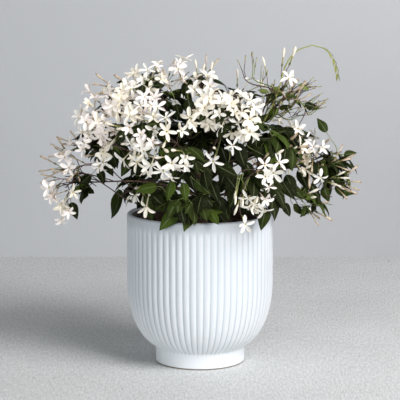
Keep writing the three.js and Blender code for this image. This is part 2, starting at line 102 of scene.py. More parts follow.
def factor(name, description, default, most=1):
    return FloatProperty(name=name, description=description, default=default, min=0, max=most,
                         subtype="FACTOR")


def count(name, description, default):
    return IntProperty(name=name, description=description, default=default, min=1)


def colour(name, description, default):
    return FloatVectorProperty(name=name, description=description, default=default, size=3,
                               min=0, max=1, subtype="COLOR")


def angle(name, description, degrees):
    return FloatProperty(name=name, description=description, default=math.radians(degrees),
                         subtype="ANGLE", unit="ROTATION")


def light_bearing(name, degrees):
    return angle(f"{name} bearing", "Turn of this light to the camera's right", degrees)


def light_rise(name, degrees):
    return angle(f"{name} rise", "Rise of this light over the floor", degrees)


def power(name, description, default):
    return FloatProperty(name=name, description=description, default=default, min=0,
                         unit="POWER")


def box_of(node):
    low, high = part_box(node)
    return np.array(low), np.array(high)


planter_high = box_of("planter")[1]
liner_low, liner_high = box_of("nursery_pot")
soil_low, soil_high = box_of("soil")
trunk_low, trunk_high = box_of("trunk")


class PlanterSettings(bpy.types.PropertyGroup):
    radius: distance("Radius", "Outer radius of the wall over the ribs", planter_high[0])
    height: distance("Height", "Height of the lip", planter_high[2])
    wall: distance("Wall", "Thickness of the lip", 5 * MM)
    foot_radius: distance("Foot radius", "Radius of the plain foot", 46 * MM)
    foot_edge: distance("Foot edge", "Rounding of the foot's lower edge", 1.5 * MM)
    foot_ring: distance("Foot ring", "Width of the ring that the planter stands on", 7 * MM)
    foot_hollow: distance("Foot hollow", "Depth of the hollow inside the foot ring", 1.5 * MM)
    bowl_axis: distance("Bowl axis", "Radius where the bowl's curve is centred", 30 * MM)
    bowl_top: distance("Bowl top", "Height where the bowl meets the straight wall", 88 * MM)
    bowl_depth: distance("Bowl depth", "Depth of the bowl's curve", 74 * MM)
    bowl_fullness: FloatProperty(name="Bowl fullness", default=2.3, min=1, max=6,
                                 description="2 is an ellipse, more is squarer")
    ribs: count("Ribs", "Ribs round the wall", 67)
    rib_columns: count("Columns per rib", "Faces across one rib", 10)
    rib_depth: distance("Rib depth", "Depth of the grooves between the ribs", 1.5 * MM)
    rib_flatness: factor("Rib flatness", "1 is round, less is flat between narrow grooves", 0.6)
    rib_top: distance("Rib top", "Height above which the ribs fade out", 139 * MM)
    smooth_top: distance("Smooth top", "Height above which the wall is plain", 149 * MM)
    floor: distance("Floor", "Height of the floor inside", 14 * MM)
    glaze: colour("Glaze", "The matt glaze on the ribs", srgb(203, 208, 214))
    # The groove colour is partly glaze pooled in the grooves and partly painted shade that darkens
    # them
    groove: colour("Groove", "The glaze that lies deeper in the grooves", srgb(178, 186, 194))
    # Painted light: the glaze is paler low down, standing for light the floor bounces onto the bowl
    painted_light_low_glaze: colour("Low glaze", "The thick glaze low down", srgb(217, 221, 225))
    # Painted shade: the glaze is greyer near the lip, standing for the shade the overhanging crown
    # casts there
    painted_shade_lip_glaze: colour("Lip glaze", "The thin glaze near the lip", srgb(181, 187, 193))
    clay: colour("Clay", "The bare clay of the foot ring", srgb(140, 132, 120))
    # Painted shade: this dark colour stands for the shade inside the planter, under its lip
    inside: colour("Inside", "The wall inside, stained by damp", srgb(82, 80, 76))


class PotSettings(bpy.types.PropertyGroup):
    rim_radius: distance("Rim radius", "Radius of the nursery pot's rim", 62 * MM)
    rim_width: distance("Rim width", "Width of the rim, from edge to wall", 3.5 * MM)
    rim_height: distance("Rim height", "Height of the rim's skirt", 7 * MM)
    rim_round: distance("Rim rounding", "Rounding of the rim's edges", 1 * MM)
    base_radius: distance("Base radius", "Radius of the nursery pot's base", 42 * MM)
    wall: distance("Wall", "Thickness of the nursery pot's wall", 1.4 * MM)
    seat: distance("Seat", "Height of the nursery pot's base", liner_low[2])
    top: distance("Top", "Height of the rim", liner_high[2])
    soil_top: distance("Soil top", "Height of the soil", soil_high[2])
    soil_radius: distance("Soil radius", "Radius of the soil's surface", soil_high[0])
    soil_lumps: distance("Lumps", "How far the soil's crumbs stand up", 1.6 * MM)
    chips: count("Chips", "Chips of bark on the soil", 420)
    # The nursery pot's brown, made darker than the lit plastic: partly its own colour, partly
    # painted shade from the crown over it
    plastic: colour("Plastic", "The nursery pot", srgb(74, 48, 37))
    soil: colour("Soil", "The moist soil", srgb(44, 33, 26))
    chip: colour("Chip", "The bark chips in the soil", srgb(86, 62, 44))


class WoodSettings(bpy.types.PropertyGroup):
    flare_radius: distance("Flare", "Radius of the trunk where it meets the soil", 9 * MM)
    neck_radius: distance("Neck", "Radius of the trunk above its flare", 5 * MM)
    head_radius: distance("Head", "Radius of the trunk's head", 4 * MM)
    flare_height: distance("Flare height", "Height of the flare", 9 * MM)
    trunk_height: distance("Trunk height", "Height of the trunk over the soil", 42 * MM)
    bough_foot: distance("Bough foot", "Radius of a bough at the trunk", 1.6 * MM)
    bough_tip: distance("Bough tip", "Radius of a bough where its foliage begins", 0.8 * MM)
    relief: factor("Relief", "Depth of the bark's ridges, as a share of the radius", 0.09)
    node_gap: distance("Joints", "Distance between a bough's swollen joints", 21 * MM)
    bark: colour("Bark", "The ridges of the old bark", srgb(104, 82, 64))
    crack: colour("Cracks", "The cracks between the ridges", srgb(48, 34, 27))
    stem: colour("Stem", "The dark young stems", srgb(74, 50, 46))
    green_stem: colour("Green stem", "The stems of the youngest leaves", srgb(124, 137, 74))
    red_stem: colour("Red stem", "The stems that carry buds", srgb(112, 66, 58))


class LeafSettings(bpy.types.PropertyGroup):
    length: distance("Length", "Length of the leaflet at a leaf's tip", 25 * MM)
    width: distance("Width", "Width of that leaflet", 13 * MM)
    side_share: factor("Side leaflets", "Length of a side leaflet, as a share", 0.66)
    stalk: distance("Stalk", "Length of the stalk with its side leaflets", 15 * MM)
    per_solid: factor("Leaves", "Leaves for each one of the plain model", 2.4, 8)
    # Painted shade: a darker copy of the leaf green, for leaves in the crown's shade
    deep: colour("Deep", "Dark leaves inside the crown", srgb(19, 25, 4))
    # Painted shade: the darkest copy of the leaf green, for leaves where the shade is deepest, at
    # the heart and low in front
    old: colour("Old", "The oldest leaves, at the heart and low in front", srgb(12, 16, 3))
    green: colour("Green", "Grown leaves", srgb(38, 49, 12))
    # Painted light: a paler copy of the leaf green, for leaves in good light
    fresh: colour("Fresh", "Leaves in good light", srgb(60, 76, 22))
    young: colour("Young", "The youngest leaves", srgb(110, 122, 62))


class BlossomSettings(bpy.types.PropertyGroup):
    tube: distance("Tube", "Length of a flower's slim tube", 18 * MM)
    petal: distance("Petal", "Length of a petal", 10.5 * MM)
    petal_width: distance("Petal width", "Width of a petal", 5.2 * MM)
    throat: distance("Throat", "Radius where the tube opens", 1 * MM)
    stalk: distance("Stalk", "Length of a flower's or bud's own stalk", 5 * MM)
    spacing: distance("Spacing", "Least distance between two flowers' faces", 6.2 * MM)
    per_solid: factor("Flowers", "Flowers for each one of the plain model", 2.8, 9)
    bud: distance("Bud", "Length of a full bud", 20 * MM)
    bud_radius: distance("Bud radius", "Radius of a full bud's head", 1.2 * MM)
    buds_per_solid: factor("Buds", "Buds for each one of the plain model", 4, 12)
    buds_per_flower: factor("Buds among flowers", "Buds that grow with each flower", 0.5, 4)
    white: colour("White", "Petals in full light", srgb(253, 250, 244))
    cream: colour("Cream", "Petals a few days old", srgb(252, 245, 231))
    blush: colour("Blush", "Petals with a pink flush", srgb(253, 246, 243))
    throat_tint: colour("Throat tint", "The pale yellow throat", srgb(222, 214, 150))
    tan: colour("Tan", "The flushed tube and head of a bud", srgb(188, 160, 126))
    green_tube: colour("Green tube", "The tube of a pale bud or flower", srgb(176, 174, 112))
    red: colour("Red", "The tips of young buds", srgb(118, 56, 48))
    calyx: colour("Calyx", "The green cup at a flower's foot", srgb(110, 112, 60))


class ShootSettings(bpy.types.PropertyGroup):
    foot: distance("Foot", "Radius of the shoot where it leaves the trunk", 1 * MM)
    top: distance("Top", "Radius of the shoot at the top of its arch", 0.55 * MM)
    tip: distance("Tip", "Radius of the shoot's tip", 0.4 * MM)
    leaf: distance("Leaf", "Length of its unfolding leaves", 9 * MM)
    leaf_gap: distance("Leaf gap", "Distance between pairs of its leaves", 8 * MM)
    green: colour("Green", "The shoot's yellow green", srgb(150, 156, 78))


class StageSettings(bpy.types.PropertyGroup):
    camera_distance: distance("Camera distance", "How far the camera stands in front", 1.53)
    camera_height: distance("Camera height", "Height of the camera", 0.389)
    camera_dip: angle("Camera dip", "How far the camera looks down", 8.24)
    lens: FloatProperty(name="Lens", default=135.8, min=1, unit="CAMERA",
                        description="Focal length on a sensor 36 mm wide")
    wall_distance: distance("Wall distance", "How far behind the plant the wall stands", 0.59)
    floor: colour("Floor", "The pale floor", srgb(218, 220, 220))
    wall: colour("Wall", "The pale wall", srgb(176, 178, 181))
    key: power("Key light", "Power of the soft light from the right", 48)
    key_bearing: light_bearing("Key", 45)
    key_rise: light_rise("Key", 38)
    fill: power("Fill light", "Power of the broad light from the left", 17.5)
    fill_bearing: light_bearing("Fill", -30)
    fill_rise: light_rise("Fill", 5)
    low: power("Low light", "Power of the low light from the right", 12.7)
    low_bearing: light_bearing("Low", 45)
    low_rise: light_rise("Low", 7)
    back: power("Back light", "Power of the low light behind the plant", 20)
    back_bearing: light_bearing("Back", -160)
    back_rise: light_rise("Back", 12)
    sky: factor("Sky", "Strength of the light from all round", 0.055, 4)


SETTINGS = {
    "jasmine_planter": PlanterSettings,
    "jasmine_pot": PotSettings,
    "jasmine_wood": WoodSettings,
    "jasmine_leaf": LeafSettings,
    "jasmine_blossom": BlossomSettings,
    "jasmine_shoot": ShootSettings,
    "jasmine_stage": StageSettings,
}

# Tints that belong to a finish
IRON_SPECK = srgb(176, 168, 156)
DRIED_SOIL = srgb(92, 74, 60)
LEAF_VEIN = srgb(168, 184, 120)
LEAF_RIB = srgb(150, 168, 104)
SKYLIGHT = srgb(240, 236, 229)
PETAL_GLOW = (1, 0.965, 0.88)  # what light turns to inside a petal
PETAL_LETS_THROUGH = 0.25  # the share of the light that comes through a petal


# Materials

# The colour sockets of a node that mixes
SHARE, FIRST, SECOND, RESULT = 0, 6, 7, 2


class Flow:
    """A value inside a material. Arithmetic on it adds Math nodes."""

    def __init__(self, finish, socket):
        self.finish = finish
        self.socket = socket

    def __add__(self, other):
        return self.finish.maths("ADD", self, other)

    def __sub__(self, other):
        return self.finish.maths("SUBTRACT", self, other)

    def __rsub__(self, other):
        return self.finish.maths("SUBTRACT", other, self)

    def __mul__(self, other):
        return self.finish.maths("MULTIPLY", self, other)

    __radd__ = __add__
    __rmul__ = __mul__


class Finish:
    """A material, and the nodes that its surface is made of."""

    def __init__(self, name):
        self.material = bpy.data.materials.new(name)
        self.material.use_nodes = True
        self.nodes = self.material.node_tree.nodes
        self.shader = self.nodes["Principled BSDF"]

    def node(self, kind, settings=None, inputs=None, output=0):
        """Adds a node. settings come first, then inputs, which are plain values or other flows."""
        made = self.nodes.new(kind)
        for name, value in (settings or {}).items():
            setattr(made, name, value)
        for name, value in (inputs or {}).items():
            self.feed(made.inputs[name], value)
        return Flow(self, made.outputs[output])

    def feed(self, socket, value):
        if isinstance(value, Flow):
            self.material.node_tree.links.new(value.socket, socket)
        elif socket.type == "RGBA":
            socket.default_value = (*value, 1)
        else:
            socket.default_value = value

    def maths(self, operation, *values):
        return self.node("ShaderNodeMath", {"operation": operation}, dict(enumerate(values)))

    def mix(self, share, first, second):
        """A colour that runs from first to second as share runs from 0 to 1."""
        inputs = {SHARE: share, FIRST: first, SECOND: second}
        return self.node("ShaderNodeMix", {"data_type": "RGBA"}, inputs, RESULT)

    def place(self):
        """The point on the object, in metres."""
        return self.node("ShaderNodeTexCoord", output="Object")

    def axes(self):
        """The three coordinates of that point."""
        parts = self.node("ShaderNodeSeparateXYZ", inputs={"Vector": self.place()})
        return [Flow(self, part) for part in parts.socket.node.outputs]

    def noise(self, scale, detail=3, roughness=0.5, where=None, distortion=0):
        """Cloudy noise from 0 to 1, with scale clouds to a metre."""
        inputs = {"Vector": where or self.place(), "Scale": scale, "Detail": detail,
                  "Roughness": roughness, "Distortion": distortion}
        return self.node("ShaderNodeTexNoise", inputs=inputs)

    def band(self, value, low, high):
        """0 where value is under low and 1 where it is over high."""
        inputs = {"Value": value, "From Min": low, "From Max": high}
        return self.node("ShaderNodeMapRange", {"interpolation_type": "SMOOTHSTEP"}, inputs)

    def bump(self, height, depth):
        """The surface's normal over relief of that depth in metres."""
        return self.node("ShaderNodeBump", inputs={"Height": height, "Distance": depth})

    def let_through(self, share, tint):
        """Lets that share of the light shine through from behind."""
        self.blend_shaders(share, self.node("ShaderNodeBsdfTranslucent", inputs={"Color": tint}))

    def show_front_only(self):
        """Lets everything pass that comes from behind the surface."""
        behind = self.node("ShaderNodeNewGeometry", output="Backfacing")
        clear = self.node("ShaderNodeBsdfTransparent")
        self.blend_shaders(behind, clear)

    def blend_shaders(self, share, other):
        """Puts another shader over the main one by that share."""
        main = Flow(self, self.shader.outputs[0])
        both = self.node("ShaderNodeMixShader", inputs={0: share, 1: main, 2: other})
        self.feed(self.nodes["Material Output"].inputs["Surface"], both)

    def surface(self, tint, roughness, normal, specular=0.5):
        """Sets the main shader's sockets."""
        inputs = {"Base Color": tint, "Roughness": roughness, "Normal": normal,
                  "Specular IOR Level": specular}
        for name, value in inputs.items():
            self.feed(self.shader.inputs[name], value)
        return self.material


def darker(tint, share):
    return tuple(part * share for part in tint)


def blended(first, second, share):
    return tuple(mixed(a, b, share) for a, b in zip(first, second))


def glaze_finish(planter):
    """Matt white glaze, thinner on the ribs, with faint iron specks. Its grooves are darker, partly
    pooled glaze and partly painted shade; it is paler low down, painted light, and greyer near
    the lip, painted shade.
    """
    finish = Finish("matt_glaze")
    x, y, z = finish.axes()
    bearing = finish.maths("ARCTAN2", x, -1 * y)
    crest = finish.maths("ABSOLUTE", finish.maths("COSINE", bearing * (planter.ribs / 2)))
    above_foot = finish.band(z, 12 * MM, 20 * MM)
    below_lip = finish.band(z, planter.smooth_top, planter.rib_top)
    # Painted light: paler glaze low down, for the floor's bounce onto the bowl
    painted_light_band = finish.band(z, 100 * MM, 20 * MM)
    # Painted shade: greyer glaze near the lip, for the crown's shade over it
    painted_shade_band = finish.band(z, 140 * MM, 150 * MM)
    # The grooves are darker: partly glaze pooled in them, partly painted shade
    pooled_and_shaded = finish.band(crest, 0.5, 0.05) * (below_lip * above_foot)
    cloud = finish.noise(28, 4)
    ground = finish.mix(cloud, darker(planter.glaze, 0.955), planter.glaze)
    ground = finish.mix(painted_light_band, ground, planter.painted_light_low_glaze)
    ground = finish.mix(painted_shade_band, ground, planter.painted_shade_lip_glaze)
    wall = finish.mix(pooled_and_shaded, ground, planter.groove)
    speck = finish.band(finish.noise(620, 1), 0.73, 0.79)
    painted = finish.mix(speck * 0.35, wall, IRON_SPECK)
    grain = finish.noise(900, 2)
    dimple = finish.noise(160, 2)
    return finish.surface(painted, 0.4 + 0.14 * cloud + 0.1 * pooled_and_shaded,
                          finish.bump(grain + 1.5 * dimple, 0.05 * MM), specular=0.45)


def clay_finish(planter):
    """Bare fired clay, with sand in it."""
    finish = Finish("bare_clay")
    grain = finish.noise(1500, 3)
    tint = finish.mix(grain, darker(planter.clay, 0.82), planter.clay)
    return finish.surface(tint, 0.85 + 0.1 * grain, finish.bump(grain, 0.1 * MM))


def shaded_inside_finish(planter):
    """The wall inside, under the lip: thin glaze, darkened with painted shade and mottled."""
    finish = Finish("stained_inside")
    shade_mottle = finish.noise(60, 4, 0.6)
    tint = finish.mix(shade_mottle, darker(planter.inside, 0.55), planter.inside)
    return finish.surface(tint, 0.6 + 0.25 * shade_mottle, finish.bump(finish.noise(500, 2), 0.06 * MM))


def plastic_finish(pot):
    """Moulded plastic, scuffed, with a little dried soil on it."""
    finish = Finish("nursery_plastic")
    scuff = finish.noise(240, 5, 0.7)
    dust = finish.band(finish.noise(70, 4), 0.5, 0.72)
    moulded = finish.mix(scuff, darker(pot.plastic, 0.85), pot.plastic)
    tint = finish.mix(dust * 0.45, moulded, DRIED_SOIL)
    return finish.surface(tint, 0.48 + 0.35 * dust, finish.bump(scuff, 0.12 * MM))


def soil_finish(pot):
    """Moist soil: dark crumbs and paler fibres."""
    finish = Finish("moist_soil")
    crumb = finish.noise(420, 6, 0.65)
    fibre = finish.noise(1300, 3, 0.6, distortion=1.2)
    dark = finish.mix(crumb, darker(pot.soil, 0.45), pot.soil)
    tint = finish.mix(finish.band(fibre, 0.62, 0.74), dark, darker(pot.chip, 0.8))
    return finish.surface(tint, 0.8 + 0.18 * crumb, finish.bump(crumb + 0.4 * fibre, 1.2 * MM))


def chip_finish(pot):
    """Chips of bark, with their grain drawn askew."""
    finish = Finish("bark_chips")
    grain = finish.noise(800, 4, 0.6, distortion=0.8)
    tint = finish.mix(grain, darker(pot.chip, 0.4), pot.chip)
    return finish.surface(tint, 0.75 + 0.2 * grain, finish.bump(grain, 0.3 * MM))


def bark_finish(wood):
    """Old bark: pale ridges, dark cracks and flakes."""
    finish = Finish("old_bark")
    ridge = finish.noise(380, 5, 0.65, distortion=0.6)
    flake = finish.noise(110, 3)
    crack = finish.band(ridge, 0.52, 0.4)
    tint = finish.mix(crack, finish.mix(flake, darker(wood.bark, 0.72), wood.bark), wood.crack)
    return finish.surface(tint, 0.78 + 0.16 * flake, finish.bump(ridge, 0.4 * MM))


def stem_finish(name, tint, roughness=0.55):
    """The smooth skin of a young stem, with faint streaks."""
    finish = Finish(name)
    streak = finish.noise(700, 3)
    skin = finish.mix(streak, darker(tint, 0.72), tint)
    return finish.surface(skin, roughness + 0.15 * streak, finish.bump(streak, 0.1 * MM))


def shoot_finish(shoot, wood):
    """The shoot's skin, dark low down and a fresh green where it is young."""
    finish = Finish("shoot_skin")
    height = finish.axes()[2]
    streak = finish.noise(700, 3)
    young = finish.band(height, 225 * MM, 270 * MM)
    tint = finish.mix(young, wood.stem, finish.mix(streak, darker(shoot.green, 0.8), shoot.green))
    return finish.surface(tint, 0.5 + 0.15 * streak, finish.bump(streak, 0.1 * MM))


def leaf_finish(name, tint, roughness):
    """A leaf's skin: a soft gloss over mottled green and a fine net of veins."""
    finish = Finish(name)
    mottle = finish.noise(260, 4, 0.6)
    net = finish.node("ShaderNodeTexVoronoi", {"feature": "DISTANCE_TO_EDGE"},
                      {"Vector": finish.place(), "Scale": 900})
    vein = finish.band(net, 0.09, 0.02)
    skin = finish.mix(mottle, darker(tint, 0.78), tint)
    lined = finish.mix(vein * 0.25, skin, blended(tint, LEAF_VEIN, 0.3))
    return finish.surface(lined, roughness + 0.14 * mottle,
                          finish.bump(mottle - 0.5 * vein, 0.18 * MM), specular=0.05)


def petal_finish(name, tint, depth=0.97):
    """A petal's skin: thin and satiny, a shade deeper in its folds, with light shining through."""
    finish = Finish(name)
    fold = finish.noise(420, 3, 0.55)
    skin = finish.mix(fold, darker(tint, depth), tint)
    finish.surface(skin, 0.55 + 0.12 * fold, finish.bump(fold, 0.12 * MM), specular=0.3)
    finish.let_through(PETAL_LETS_THROUGH, tuple(a * b for a, b in zip(tint, PETAL_GLOW)))
    return finish.material


def concrete_finish(name, tint, contrast, pits, stretch=1.0, one_sided=False):
    """Pale ground trowelled along Y: broad clouds, grain drawn out by stretch, and dark pits."""
    finish = Finish(name)
    drawn_out = finish.node("ShaderNodeMapping", inputs={"Vector": finish.place(),
                                                         "Scale": (1, 1 / stretch, 1)})
    cloud = finish.noise(6, 5, 0.6)
    grain = finish.noise(420, 3, 0.8, where=drawn_out)
    pit = finish.band(finish.noise(190, 1, where=drawn_out), 0.76, 0.8)
    broad = finish.mix(finish.band(cloud, 0.3, 0.7), darker(tint, 1 - contrast), tint)
    fine = finish.mix(finish.band(grain, 0.3, 0.7), darker(tint, 1 - 4 * contrast), tint)
    mottled = finish.mix(0.5, broad, fine)
    if one_sided:
        finish.show_front_only()
    pitted = finish.mix(pit * pits, mottled, darker(tint, 0.3))
    return finish.surface(pitted, 0.8 + 0.15 * cloud, finish.bump(grain, contrast * 4 * MM))


# Shapes from arrays of points

SPAN_POINTS = 8  # points in each span of a smooth line


def unit(vectors):
    return vectors / norm(vectors, axis=-1, keepdims=True)


def mixed(first, second, share):
    return first + (second - first) * share


def smooth(value):
    value = np.clip(value, 0, 1)
    return value * value * (3 - 2 * value)


def steps(number):
    """That many numbers, spread evenly from 0 to 1."""
    return np.linspace(0, 1, number)


def straight(start, span, number):
    """Points on a straight line."""
    return start + span * steps(number)[:, None]


def grid_faces(rows, columns, closed=True):
    """Four-sided faces over rows of points. closed joins the end of each row to its start."""
    start = np.arange(rows - 1)[:, None] * columns
    here = np.arange(columns if closed else columns - 1)
    beside = (here + 1) % columns
    corners = [start + here, start + beside, start + columns + beside, start + columns + here]
    return np.stack(corners, axis=-1).reshape(-1, 4)


def bezier(points, places):
    """Points at the places, from 0 to 1, along the curve with these control points."""
    level = [np.tile(point, (len(places), 1)) for point in points]
    places = np.asarray(places)[:, None]
    while len(level) > 1:
        level = [mixed(a, b, places) for a, b in zip(level, level[1:])]
    return level[0]


def on_curve(points, place):
    return bezier(points, [place])[0]


def through(points):
    """A smooth line through points, with spans weighed by the root of their length."""
    points = np.asarray(points)
    points = np.vstack([2 * points[0] - points[1], points, 2 * points[-1] - points[-2]])
    line = []
    for a, b, c, d in zip(points, points[1:], points[2:], points[3:]):
        before, here, after = np.sqrt(norm(np.diff([a, b, c, d], axis=0), axis=1))
        leave = ((b - a) / before - (c - a) / (before + here) + (c - b) / here) * here
        arrive = ((c - b) / here - (d - b) / (here + after) + (d - c) / after) * here
        for t in np.arange(SPAN_POINTS) / SPAN_POINTS:
            line.append(b + leave * t + (3 * (c - b) - 2 * leave - arrive) * t**2
                        + (2 * (b - c) + leave + arrive) * t**3)
    line.append(points[-2])
    return np.array(line)


def tube(line, radii, sides):
    """The points and faces of a round limb along a line of points, with a radius at each."""
    tangents = unit(np.gradient(line, axis=0))
    helper = np.eye(3)[np.argmin(np.abs(tangents[0]))]
    normal = unit(np.cross(tangents[0], helper))
    normals = []
    for tangent in tangents:
        normal = unit(normal - tangent * (normal @ tangent))
        normals.append(normal)
    normals = np.array(normals)
    binormals = np.cross(tangents, normals)
    turn = TAU * np.arange(sides) / sides
    spokes = (np.cos(turn)[None, :, None] * normals[:, None]
              + np.sin(turn)[None, :, None] * binormals[:, None])
    points = line[:, None] + spokes * radii[:, None, None]
    return points.reshape(-1, 3), grid_faces(len(line), sides)


def turned(rows, columns):
    """The points and faces of a profile of (radius, height) rows turned about Z from the front."""
    turn = TAU * np.arange(columns) / columns
    rows = np.asarray(rows)
    x = rows[:, :1] * np.sin(turn)
    y = -rows[:, :1] * np.cos(turn)
    z = rows[:, 1:2] + np.zeros(columns)
    return np.stack([x, y, z], axis=-1).reshape(-1, 3), grid_faces(len(rows), columns)


def planted(points, foot, along, face, scale):
    """Copies of one shape, each with +X turned along, +Z as near as can be to face, at its foot."""
    side = unit(np.cross(face, along))
    basis = np.stack([along, side, np.cross(along, side)], axis=1)
    return foot[:, None] + scale[:, None, None] * (points @ basis)


def planted_once(points, foot, along, face, scale=1.0):
    return planted(points, foot[None], along[None], face[None], np.array([scale]))[0]


def joined(parts):
    """One shape from (points, faces, paint) rows. paint is one number, or one for each face."""
    starts = np.cumsum([0] + [len(points) for points, _, _ in parts])
    points = np.concatenate([points for points, _, _ in parts])
    faces = np.concatenate([faces + start for (_, faces, _), start in zip(parts, starts)])
    paint = np.concatenate([np.broadcast_to(paint, len(faces)) for _, faces, paint in parts])
    return points, faces, paint


def put(name, data):
    """A new object in the scene, with this data."""
    made = bpy.data.objects.new(name, data)
    bpy.context.scene.collection.objects.link(made)
    return made


class Cuttings:
    """Many shapes of one kind, gathered to be joined into a few meshes."""

    def __init__(self):
        self.batches = []

    def add(self, points, faces, paint=0):
        """paint is the number of the shape's finish, or of each face's."""
        self.batches.append((points, faces, paint))

    def add_copies(self, copies, faces, paint):
        """copies is an array of (copy, point, 3), and paint one of (copy, face)."""
        for points, tint in zip(copies, paint):
            self.add(points, faces, tint)

    def pieces(self):
        """The batches in groups, each with few enough triangles for one mesh."""
        group, size = [], 0
        for batch in self.batches:
            if size + 2 * len(batch[1]) > MOST_TRIANGLES:
                yield group
                group, size = [], 0
            group.append(batch)
            size += 2 * len(batch[1])
        yield group

    def build(self, name, materials, slot, replaced):
        """Makes the meshes, which ride on the plant's body and stand for the replaced nodes."""
        if not self.batches:
            raise RuntimeError(f"nothing was made for {name}")
        for number, group in enumerate(self.pieces(), 1):
            points, faces, paint = joined(group)
            mesh = bpy.data.meshes.new(name)
            mesh.from_pydata(points.tolist(), [], faces.tolist())
            for material in materials:
                mesh.materials.append(material)
            mesh.polygons.foreach_set("material_index", paint.astype(np.int32))
            mesh.shade_smooth()
            piece = put(f"{name}_{number}", mesh)
            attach(piece, BODY)
            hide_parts(*replaced)


# The planter, the nursery pot in it, and the soil

# The inside wall's finish is painted shade
GLAZED, BARE, SHADED_INSIDE = range(3)  # the finishes of the planter's faces
GROOVE_ROUNDING = 0.12  # how round a groove's bottom is, as a share of its depth
BOWL_ROWS_LOW = 1.7  # above 1, rows of faces lie closer where the bowl's curve is tight
FLOOR_FILLET = 6 * MM
POT_COLUMNS, SOIL_COLUMNS = 128, 144  # faces round the nursery pot and round the soil
CRUMBLE = (0.8, 2.1, 4)  # how fast finer relief fades, how much finer it gets and how often

# A chip of bark: a block knocked out of shape, with its least and greatest sizes
BLOCK = np.array([[x, y, z] for z in (-1, 1) for x, y in ((-1, -1), (1, -1), (1, 1), (-1, 1))]) / 2
BLOCK_SIDES = [[k, (k + 1) % 4, (k + 1) % 4 + 4, k + 4] for k in range(4)]
BLOCK_FACES = np.array([[3, 2, 1, 0], [4, 5, 6, 7], *BLOCK_SIDES])
CHIP_SIZES = np.array([[2, 1, 0.6], [7, 3, 1.6]]) * MM


def bowl_radius(planter, height):
    drop = max(0.0, (planter.bowl_top - height) / planter.bowl_depth)
    share = max(0.0, 1 - drop**planter.bowl_fullness) ** (1 / planter.bowl_fullness)
    return planter.bowl_axis + (planter.radius - planter.bowl_axis) * share


def bowl_height(planter, radius):
    share = (radius - planter.bowl_axis) / (planter.radius - planter.bowl_axis)
    drop = (1 - share**planter.bowl_fullness) ** (1 / planter.bowl_fullness)
    return planter.bowl_top - planter.bowl_depth * drop


def quarter(number):
    """That many sines and cosines, from 0 to a quarter turn."""
    turn = np.linspace(0, math.pi / 2, number)
    return list(zip(np.sin(turn), np.cos(turn)))


def planter_profile(planter):
    """Rows from the underside up and back inside. Each has a radius, a height, how deep the grooves
    are there, and the finish of the faces that follow it."""
    depth = planter.rib_depth
    foot, edge, hollow = planter.foot_radius, planter.foot_edge, planter.foot_hollow
    junction = bowl_height(planter, foot + depth)
    ring = foot - planter.foot_ring
    rows = [(MM / 2, hollow, 0, GLAZED), (ring - edge * 2, hollow, 0, GLAZED),
            (ring - edge, hollow / 2, 0, BARE), (ring, 0, 0, BARE), (foot - edge, 0, 0, BARE)]
    rows += [(foot - edge + edge * s, edge - edge * c, 0, BARE) for s, c in quarter(5)[1:-1]]
    rows.append((foot, edge, 0, GLAZED))
    rows += [(foot, height, 0, GLAZED)
             for height in np.linspace(edge * 2, junction - depth * 1.3, 5)]
    rows += [(foot + depth * s, junction - depth * c, s, GLAZED) for s, c in quarter(5)]
    for share in steps(24)[1:]:
        height = mixed(junction, planter.bowl_top, share**BOWL_ROWS_LOW)
        rows.append((bowl_radius(planter, height), height, 1, GLAZED))
    rows += [(planter.radius, height, 1, GLAZED)
             for height in np.linspace(planter.bowl_top, planter.rib_top, 7)[1:]]
    for share in steps(10)[1:]:
        height = mixed(planter.rib_top, planter.smooth_top, share)
        rows.append((planter.radius, height, 1 - smooth(share), GLAZED))
    lip = planter.wall / 2
    centre, level = planter.radius - lip, planter.height - lip
    rows += [(centre + lip * c, level + lip * s, 0, GLAZED) for s, c in quarter(6)]
    rows += [(centre - lip * s, level + lip * c, 0, GLAZED) for s, c in quarter(6)[1:-1]]
    rows.append((centre - lip, level, 0, SHADED_INSIDE))
    inset = planter.wall + depth
    rows.append((planter.radius - inset, planter.smooth_top - depth * 2, 0, SHADED_INSIDE))
    low = planter.floor + FLOOR_FILLET
    for height in np.linspace(planter.bowl_top, low, 12):
        rows.append((bowl_radius(planter, height) - inset, height, 0, SHADED_INSIDE))
    corner = bowl_radius(planter, low) - inset - FLOOR_FILLET
    rows += [(corner + FLOOR_FILLET * c, low - FLOOR_FILLET * s, 0, SHADED_INSIDE)
             for s, c in quarter(4)[1:]]
    rows.append((MM / 2, planter.floor, 0, SHADED_INSIDE))
    return np.array(rows)


class JASMINE_OT_planter(bpy.types.Operator):
    """Turn the ribbed ceramic planter with its plain foot"""

    bl_idname = "jasmine.planter"
    bl_label = "Planter"

    def execute(self, context):
        planter = context.scene.jasmine_planter
        rows = planter_profile(planter)
        columns = planter.ribs * planter.rib_columns
        crest = np.abs(np.cos(math.pi * np.arange(columns) / planter.rib_columns))
        softened = np.sqrt(crest**2 + GROOVE_ROUNDING**2) / math.hypot(1, GROOVE_ROUNDING)
        sunk = 1 - softened**planter.rib_flatness
        points, faces = turned(rows[:, :2], columns)
        radius = np.hypot(points[:, 0], points[:, 1])
        groove = (rows[:, 2:3] * sunk).ravel() * planter.rib_depth
        points[:, :2] *= (1 - groove / radius)[:, None]
        finishes = [glaze_finish(planter), clay_finish(planter), shaded_inside_finish(planter)]
        ware = Cuttings()
        ware.add(points, faces, np.repeat(rows[:-1, 3], columns))
        ware.build("planter_ware", finishes, "ceramic", ["planter"])
        return {"FINISHED"}


